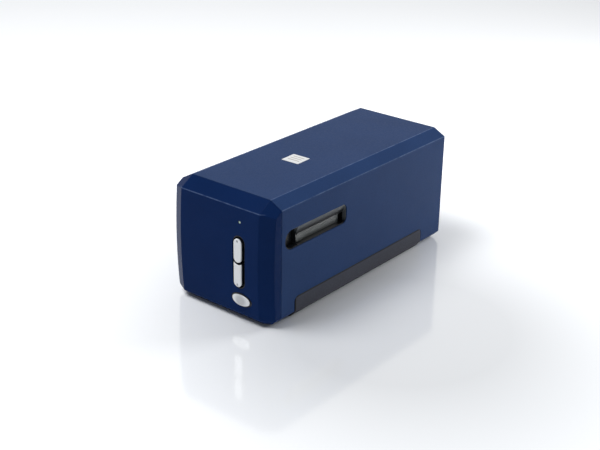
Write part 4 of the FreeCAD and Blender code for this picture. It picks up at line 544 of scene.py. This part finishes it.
def printed_label():
    """Coated paper: white, a little uneven, with plain grey bars where small print would stand."""
    colours, grain, detail = settings("colours"), settings("grain"), settings("detail")
    material, tree, place = start_material("printed_label")
    local = add(tree, "ShaderNodeMapping",
                {"Vector": place, "Location": centre_of("top_label"),
                 "Rotation": (0, 0, detail.label_turn)}, vector_type="TEXTURE")
    axes = add(tree, "ShaderNodeSeparateXYZ", {"Vector": local}).outputs
    pitches = add(tree, "ShaderNodeMath", {0: axes["Y"], 1: detail.label_pitch},
                  operation="DIVIDE")
    share = add(tree, "ShaderNodeMath", {0: pitches}, operation="FRACT")
    bars = add(tree, "ShaderNodeMath", {0: share, 1: detail.label_bar / detail.label_pitch},
               operation="LESS_THAN")
    for axis, reach in (("X", detail.label_across), ("Y", detail.label_along)):
        away = add(tree, "ShaderNodeMath", {0: axes[axis]}, operation="ABSOLUTE")
        inside = add(tree, "ShaderNodeMath", {0: away, 1: reach}, operation="LESS_THAN")
        bars = add(tree, "ShaderNodeMath", {0: bars, 1: inside}, operation="MULTIPLY")
    ink = add(tree, "ShaderNodeMath", {0: bars, 1: detail.label_ink}, operation="MULTIPLY")
    tint = add(tree, "ShaderNodeMix", {"Factor": ink, "A": colours.paper, "B": colours.print_ink},
               data_type="RGBA")
    fibre = add(tree, "ShaderNodeTexNoise",
                {"Vector": place, "Scale": 1 / grain.spark, "Detail": 3.0})
    bumps = add(tree, "ShaderNodeBump",
                {"Height": fibre, "Strength": 0.05, "Distance": grain.fibre_height})
    return end_material(material, tree, {
        "Base Color": tint, "Roughness": 0.35, "Specular IOR Level": 0.4, "Normal": bumps})


def clear_plastic(name, tint, roughness, ior):
    """Clear moulded acrylic or glass, with a faint waviness."""
    grain = settings("grain")
    material, tree, place = start_material(name)
    wave = add(tree, "ShaderNodeTexNoise",
               {"Vector": place, "Scale": 1 / (grain.paint_peel * 3)})
    bumps = add(tree, "ShaderNodeBump",
                {"Height": wave, "Strength": 0.05, "Distance": grain.wave_height})
    return end_material(material, tree, {
        "Base Color": tint, "Roughness": roughness, "IOR": ior, "Transmission Weight": 0.9,
        "Normal": bumps})


def flat_cable_film():
    """Flat flexible cable: tinned conductors that show as grey lines through a milky film."""
    colours, grain = settings("colours"), settings("grain")
    material, tree, place = start_material("flat_cable_film")
    axes = add(tree, "ShaderNodeSeparateXYZ", {"Vector": place})
    pitches = add(tree, "ShaderNodeMath", {0: axes.outputs["X"], 1: grain.conductor},
                  operation="DIVIDE")
    share = add(tree, "ShaderNodeMath", {0: pitches}, operation="FRACT")
    core = add(tree, "ShaderNodeMath", {0: share, 1: grain.conductor_share},
               operation="LESS_THAN")
    tint = add(tree, "ShaderNodeMix",
               {"Factor": core, "A": colours.ribbon, "B": colours.ribbon_core}, data_type="RGBA")
    bumps = add(tree, "ShaderNodeBump",
                {"Height": core, "Strength": 0.2, "Distance": grain.track_height})
    return end_material(material, tree, {
        "Base Color": tint, "Roughness": 0.3, "Normal": bumps})


def dress(material, *names):
    """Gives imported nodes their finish."""
    for name in names:
        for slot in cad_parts[name].material_slots:
            slot.material = material


def centre_of(name):
    low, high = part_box(name)
    return (Vector(low) + Vector(high)) / 2


def draw_on(form, edges, move):
    """Draws a loop of edges on by a straight stretch, and gives the loop at its new end."""
    drawn = bmesh.ops.extrude_edge_only(form, edges=edges)["geom"]
    ends = [item for item in drawn if isinstance(item, bmesh.types.BMVert)]
    bmesh.ops.translate(form, verts=ends, vec=move)
    return [item for item in drawn if isinstance(item, bmesh.types.BMEdge)
            and all(vert in ends for vert in item.verts)]


def wind_spring(form, side):
    """Open torsion spring round a flap's pin, with one leg down and one over the flap."""
    detail = settings("detail")
    low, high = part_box("right_flap_spring")
    pin = centre_of("right_flap_pin")
    radius = detail.spring_wire / 2
    mean = high[2] - radius - pin.z
    quarters = 4 * detail.spring_turns + 1
    steps = detail.spring_steps * quarters
    travel = high[1] - low[1] - detail.spring_wire
    start = Matrix.Translation((pin.x + mean, low[1] + radius, low[2]))
    bmesh.ops.create_circle(form, cap_ends=True, segments=detail.spring_sides, radius=radius,
                            matrix=start)
    loop = draw_on(form, form.edges[:], (0, 0, pin.z - low[2]))
    wound = bmesh.ops.spin(form, geom=loop, cent=(pin.x, 0, pin.z), axis=(0, -1, 0), steps=steps,
                           dvec=(0, travel / steps, 0), angle=math.tau / 4 * quarters)
    loop = [item for item in wound["geom_last"] if isinstance(item, bmesh.types.BMEdge)]
    loop = draw_on(form, loop, (low[0] - pin.x, 0, 0))
    bmesh.ops.contextual_create(form, geom=loop)
    bmesh.ops.scale(form, vec=(side, 1, 1), verts=form.verts[:])


def new_piece(name, mesh_maker, material, body, smooth):
    """Makes one object at the origin from a bmesh, with its finish, body and material slot."""
    mesh = bpy.data.meshes.new(name)
    form = bmesh.new()
    mesh_maker(form)
    bmesh.ops.remove_doubles(form, verts=form.verts, dist=SAME_PLACE)
    bmesh.ops.recalc_face_normals(form, faces=form.faces)
    form.to_mesh(mesh)
    form.free()
    mesh.materials.append(material)
    for face in mesh.polygons:
        face.use_smooth = True
    mesh.set_sharp_from_angle(angle=math.radians(smooth))
    piece = bpy.data.objects.new(name, mesh)
    bpy.context.scene.collection.objects.link(piece)
    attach(piece, body)
    return piece


class SCANNER_OT_casing(bpy.types.Operator):
    """Paint the casing shells and finish their screws"""
    bl_idname = "scanner.casing"
    bl_label = "Casing"

    def execute(self, context):
        colours = settings("colours")
        dress(pearl_paint(), "top_cover", "bottom_tray", "rear_panel")
        dress(metal("zinc_screw", colours.steel, 0.35), "case_screws")
        return {"FINISHED"}


class SCANNER_OT_bezel(bpy.types.Operator):
    """Finish the front bezel and its status light"""
    bl_idname = "scanner.bezel"
    bl_label = "Front bezel"

    def execute(self, context):
        colours = settings("colours")
        dress(gloss_abs(), "front_bezel")
        dress(status_light(), "led_lens")
        dress(dark_abs("led_body", colours.opal, 0.4, 0.5), "indicator_led")
        return {"FINISHED"}


class SCANNER_OT_buttons(bpy.types.Operator):
    """Finish the buttons, their dark surrounds and the switches behind them"""
    bl_idname = "scanner.buttons"
    bl_label = "Buttons"

    def execute(self, context):
        colours, detail = settings("colours"), settings("detail")
        dimples = []
        for name, end, inward in (("upper_scan_button", 1, -1), ("lower_scan_button", 0, 1)):
            x, y, z = centre_of(name)
            dimples.append((x, y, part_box(name)[end][2] + inward * detail.dimple_in))
        # Painted shade in the dimples of the scan buttons
        dress(silver_paint("silver_paint", "upper_scan_button", dimples, detail.dimple_width,
                           colours.dimple), "upper_scan_button", "lower_scan_button")
        dress(silver_paint("power_silver", "power_button", [centre_of("power_button")],
                           detail.power_middle, colours.power_silver), "power_button")
        dress(dark_abs("surround_abs", colours.surround, 0.35), "button_surround",
              "power_button_ring")
        dress(dark_abs("plunger_nylon", colours.opal, 0.4), "upper_switch_plunger",
              "lower_switch_plunger", "power_switch_plunger")
        dress(dark_abs("switch_body", colours.black, 0.4), "tact_switches")
        return {"FINISHED"}


class SCANNER_OT_slots(bpy.types.Operator):
    """Finish the film slots, their flaps, pins and springs"""
    bl_idname = "scanner.slots"
    bl_label = "Film slots"

    def execute(self, context):
        colours = settings("colours")
        dress(slot_abs(), "right_slot_frame", "left_slot_frame")
        dress(dark_abs("flap_abs", colours.flap, 0.35, 0.45), "right_dust_flap", "left_dust_flap")
        pin_steel = metal("ground_pin", colours.steel, 0.25, (1, 0.05, 1))
        dress(pin_steel, "right_flap_pin", "left_flap_pin", "right_flap_spring", "left_flap_spring")
        wire = metal("spring_wire", colours.steel, 0.3)
        for side, name in ((1, "right_flap_spring"), (-1, "left_flap_spring")):
            piece = new_piece(name + "_wire", lambda form: wind_spring(form, side), wire, "casing",
                              smooth=60)
            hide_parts(name)
        return {"FINISHED"}


class SCANNER_OT_rails(bpy.types.Operator):
    """Finish the rubber rails"""
    bl_idname = "scanner.rails"
    bl_label = "Rubber rails"

    def execute(self, context):
        dress(moulded_rubber(), "right_rubber_rail", "left_rubber_rail")
        return {"FINISHED"}


class SCANNER_OT_label(bpy.types.Operator):
    """Print the label with plain bars"""
    bl_idname = "scanner.label"
    bl_label = "Label"

    def execute(self, context):
        dress(printed_label(), "top_label")
        return {"FINISHED"}


class SCANNER_OT_channel(bpy.types.Operator):
    """Finish the film channel and the lamp above it"""
    bl_idname = "scanner.channel"
    bl_label = "Film channel and lamp"

    def execute(self, context):
        colours = settings("colours")
        black = dark_abs("channel_nylon", colours.black, 0.5)
        dress(black, "film_guide_lower", "film_guide_upper", "lamp_housing")
        dress(metal("spring_leaf", colours.steel, 0.2, (1, 0.1, 1)), "detent_spring")
        dress(dark_abs("opal_acrylic", colours.opal, 0.3, 0.5), "lamp_diffuser", "lamp_leds")
        return {"FINISHED"}


class SCANNER_OT_optics(bpy.types.Operator):
    """Finish the chassis, rods and the carriage with its optics"""
    bl_idname = "scanner.optics"
    bl_label = "Optics"

    def execute(self, context):
        colours, grain = settings("colours"), settings("grain")
        dress(steel_plate(), "optics_chassis")
        dress(metal("ground_rod", colours.steel, 0.15, (1, 0.02, 1)), "right_guide_rod",
              "left_guide_rod")
        dress(metal("spring_clip", colours.steel, 0.35), "rod_clips")
        dress(dark_abs("carriage_glass_filled", colours.black, 0.55), "carriage_body",
              "home_sensor")
        dress(metal("sintered_bronze", colours.brass, 0.45, line=grain.spark), "rod_bushes")
        dress(metal("front_silvered", colours.silvering, 0.03, line=grain.mottle, bump=0.0),
              "fold_mirror")
        dress(metal("black_anodised", colours.anodised, 0.4, (1, 0.05, 1)), "lens_barrel")
        dress(clear_plastic("coated_glass", colours.glass, 0.02, 1.52), "lens_glass")
        dress(metal("clamp_strip", colours.steel, 0.3, (0.1, 1, 1)), "lens_clamp")
        dress(dark_abs("sensor_package", colours.anodised, 0.2, 0.6), "image_sensor")
        return {"FINISHED"}


class SCANNER_OT_drive(bpy.types.Operator):
    """Finish the motor, gears, screw and nut"""
    bl_idname = "scanner.drive"
    bl_label = "Drive"

    def execute(self, context):
        colours = settings("colours")
        dress(metal("motor_can", colours.zinc, 0.35, (1, 0.05, 1)), "stepper_motor")
        dress(metal("rolled_screw", colours.steel, 0.22), "lead_screw")
        dress(metal("machined_brass", colours.brass, 0.25, (1, 0.1, 1)), "motor_pinion",
              "drive_gear", "drive_nut")
        dress(dark_abs("bearing_acetal", colours.opal, 0.35), "screw_bearings")
        return {"FINISHED"}


class SCANNER_OT_electronics(bpy.types.Operator):
    """Finish the boards, sockets and cable"""
    bl_idname = "scanner.electronics"
    bl_label = "Electronics"

    def execute(self, context):
        colours = settings("colours")
        dress(solder_mask(), "front_button_board", "lamp_board", "sensor_board", "main_board")
        dress(dark_abs("component_epoxy", colours.black, 0.35), "board_components")
        dress(metal("nickel_shell", colours.nickel, 0.2), "usb_socket")
        dress(dark_abs("jack_pbt", colours.black, 0.4), "dc_jack")
        dress(flat_cable_film(), "flat_cable")
        dress(metal("zinc_small_screw", colours.steel, 0.35), "inner_screws")
        return {"FINISHED"}


class SCANNER_OT_studio(bpy.types.Operator):
    """Lay the floor, hang the lights and set the camera"""
    bl_idname = "scanner.studio"
    bl_label = "Studio"

    def execute(self, context):
        self.lay_floor()
        self.light_world()
        studio = settings("studio")
        self.hang_light("key_light", studio.key_power, studio.key_size, studio.key_place)
        self.hang_light("fill_light", studio.fill_power, studio.fill_size, studio.fill_place)
        self.set_camera()
        context.scene.view_settings.view_transform = "Standard"
        return {"FINISHED"}

    def lay_floor(self):
        """White glossy board that keeps the shadow and a weak mirror image, with painted shadow:
        darker round the scanner for the camera and gloss.
        """
        studio, colours = settings("studio"), settings("colours")
        mesh = bpy.data.meshes.new("studio_floor")
        form = bmesh.new()
        bmesh.ops.create_grid(form, x_segments=1, y_segments=1, size=studio.floor_half)
        form.to_mesh(mesh)
        form.free()
        floor = bpy.data.objects.new("studio_floor", mesh)
        bpy.context.scene.collection.objects.link(floor)
        material, tree, place = start_material("white_floor")
        cloud = add(tree, "ShaderNodeTexNoise",
                    {"Vector": place, "Scale": 1 / studio.floor_cloud, "Detail": 2.0})
        uneven = add(tree, "ShaderNodeMapRange",
                     {"Value": cloud, "To Min": 1 - studio.floor_mottle,
                      "To Max": 1 + studio.floor_mottle})
        # Painted shadow: darker floor round a centre where the scanner's shadow falls, brighter
        # further off
        away = add(tree, "ShaderNodeVectorMath", {0: place, 1: studio.shade_centre},
                   operation="DISTANCE")
        lit = add(tree, "ShaderNodeMapRange",
                  {"Value": away, "From Min": studio.shade_inner, "From Max": studio.shade_outer,
                   "To Min": studio.floor_in_shade, "To Max": studio.floor_far})
        gain = add(tree, "ShaderNodeMapRange",
                   {"Value": seen_rays(tree), "To Min": 1.0, "To Max": lit})
        bright = add(tree, "ShaderNodeMath", {0: gain, 1: uneven}, operation="MULTIPLY")
        white = add(tree, "ShaderNodeVectorMath", {0: colours.studio, 1: bright},
                    operation="MULTIPLY")
        matt = add(tree, "ShaderNodeBsdfDiffuse", {"Color": white})
        gloss = add(tree, "ShaderNodeBsdfAnisotropic",
                    {"Color": (1, 1, 1), "Roughness": studio.floor_gloss})
        edge = add(tree, "ShaderNodeFresnel", {"IOR": studio.floor_ior})
        board = add(tree, "ShaderNodeMixShader", {0: edge, 1: matt, 2: gloss})
        add(tree, "ShaderNodeOutputMaterial", {"Surface": board})
        mesh.materials.append(material)

    def light_world(self):
        """Even soft light; the camera and gloss see a white horizon under a dimmer ceiling."""
        studio = settings("studio")
        world = bpy.data.worlds.new("studio_world")
        bpy.context.scene.world = world
        world.use_nodes = True
        tree = world.node_tree
        tree.nodes.clear()
        soft = add(tree, "ShaderNodeBackground",
                   {"Color": studio.ambient_tint, "Strength": studio.ambient})
        direction = add(tree, "ShaderNodeTexCoord").outputs["Generated"]
        axes = add(tree, "ShaderNodeSeparateXYZ", {"Vector": direction})
        dimmer = add(tree, "ShaderNodeMapRange",
                     {"Value": axes.outputs["Z"], "From Min": studio.wall_top,
                      "From Max": studio.ceiling_edge, "To Min": 1.0, "To Max": studio.ceiling})
        white = add(tree, "ShaderNodeBackground", {"Color": (1, 1, 1), "Strength": dimmer})
        mixed = add(tree, "ShaderNodeMixShader", {0: seen_rays(tree), 1: soft, 2: white})
        add(tree, "ShaderNodeOutputWorld", {"Surface": mixed})

    def hang_light(self, name, watts, size, place):
        """Hangs a square lamp that faces the scanner."""
        data = bpy.data.lights.new(name, "AREA")
        data.energy = watts
        data.shape = "SQUARE"
        data.size = size
        lamp = bpy.data.objects.new(name, data)
        lamp.location = place
        aim = Vector(settings("studio").light_aim) - Vector(place)
        lamp.rotation_euler = aim.to_track_quat("-Z", "Y").to_euler()
        bpy.context.scene.collection.objects.link(lamp)

    def set_camera(self):
        studio = settings("studio")
        flat = math.cos(studio.elevation)
        back = Vector((math.sin(studio.azimuth) * flat, -math.cos(studio.azimuth) * flat,
                       math.sin(studio.elevation)))
        data = bpy.data.cameras.new("studio_camera")
        data.lens = studio.focal
        data.sensor_width = studio.sensor
        camera = bpy.data.objects.new("studio_camera", data)
        camera.location = Vector(studio.target) + back * studio.distance
        turn = (-back).to_track_quat("-Z", "Y") @ Quaternion((0, 0, 1), studio.roll)
        camera.rotation_euler = turn.to_euler()
        bpy.context.scene.collection.objects.link(camera)
        bpy.context.scene.camera = camera


class SCANNER_PT_panel(bpy.types.Panel):
    """Lists the steps that dress the scanner"""
    bl_idname = "SCANNER_PT_panel"
    bl_label = "Film Scanner"
    bl_space_type = "VIEW_3D"
    bl_region_type = "UI"
    bl_category = "Film Scanner"

    def draw(self, context):
        for step in steps:
            self.layout.operator(step.bl_idname)
        for group in groups:
            box = self.layout.box()
            values = settings(group)
            for name in values.__annotations__:
                box.prop(values, name)


steps = (SCANNER_OT_casing, SCANNER_OT_bezel, SCANNER_OT_buttons, SCANNER_OT_slots,
         SCANNER_OT_rails, SCANNER_OT_label, SCANNER_OT_channel, SCANNER_OT_optics,
         SCANNER_OT_drive, SCANNER_OT_electronics, SCANNER_OT_studio)
groups = {"colours": ScannerColours, "grain": ScannerGrain, "detail": ScannerDetail,
          "studio": ScannerStudio}


def register():
    for kind in (*groups.values(), *steps, SCANNER_PT_panel):
        bpy.utils.register_class(kind)
    for name, kind in groups.items():
        setattr(bpy.types.Scene, "scanner_" + name, PointerProperty(type=kind))


def unregister():
    for name in groups:
        delattr(bpy.types.Scene, "scanner_" + name)
    for kind in (SCANNER_PT_panel, *reversed(steps), *reversed(groups.values())):
        bpy.utils.unregister_class(kind)


def main():
    register()
    for step in steps:
        group, action = step.bl_idname.split(".")
        getattr(getattr(bpy.ops, group), action)()
    bpy.context.view_layer.update()


if __name__ == "__main__":
    main()
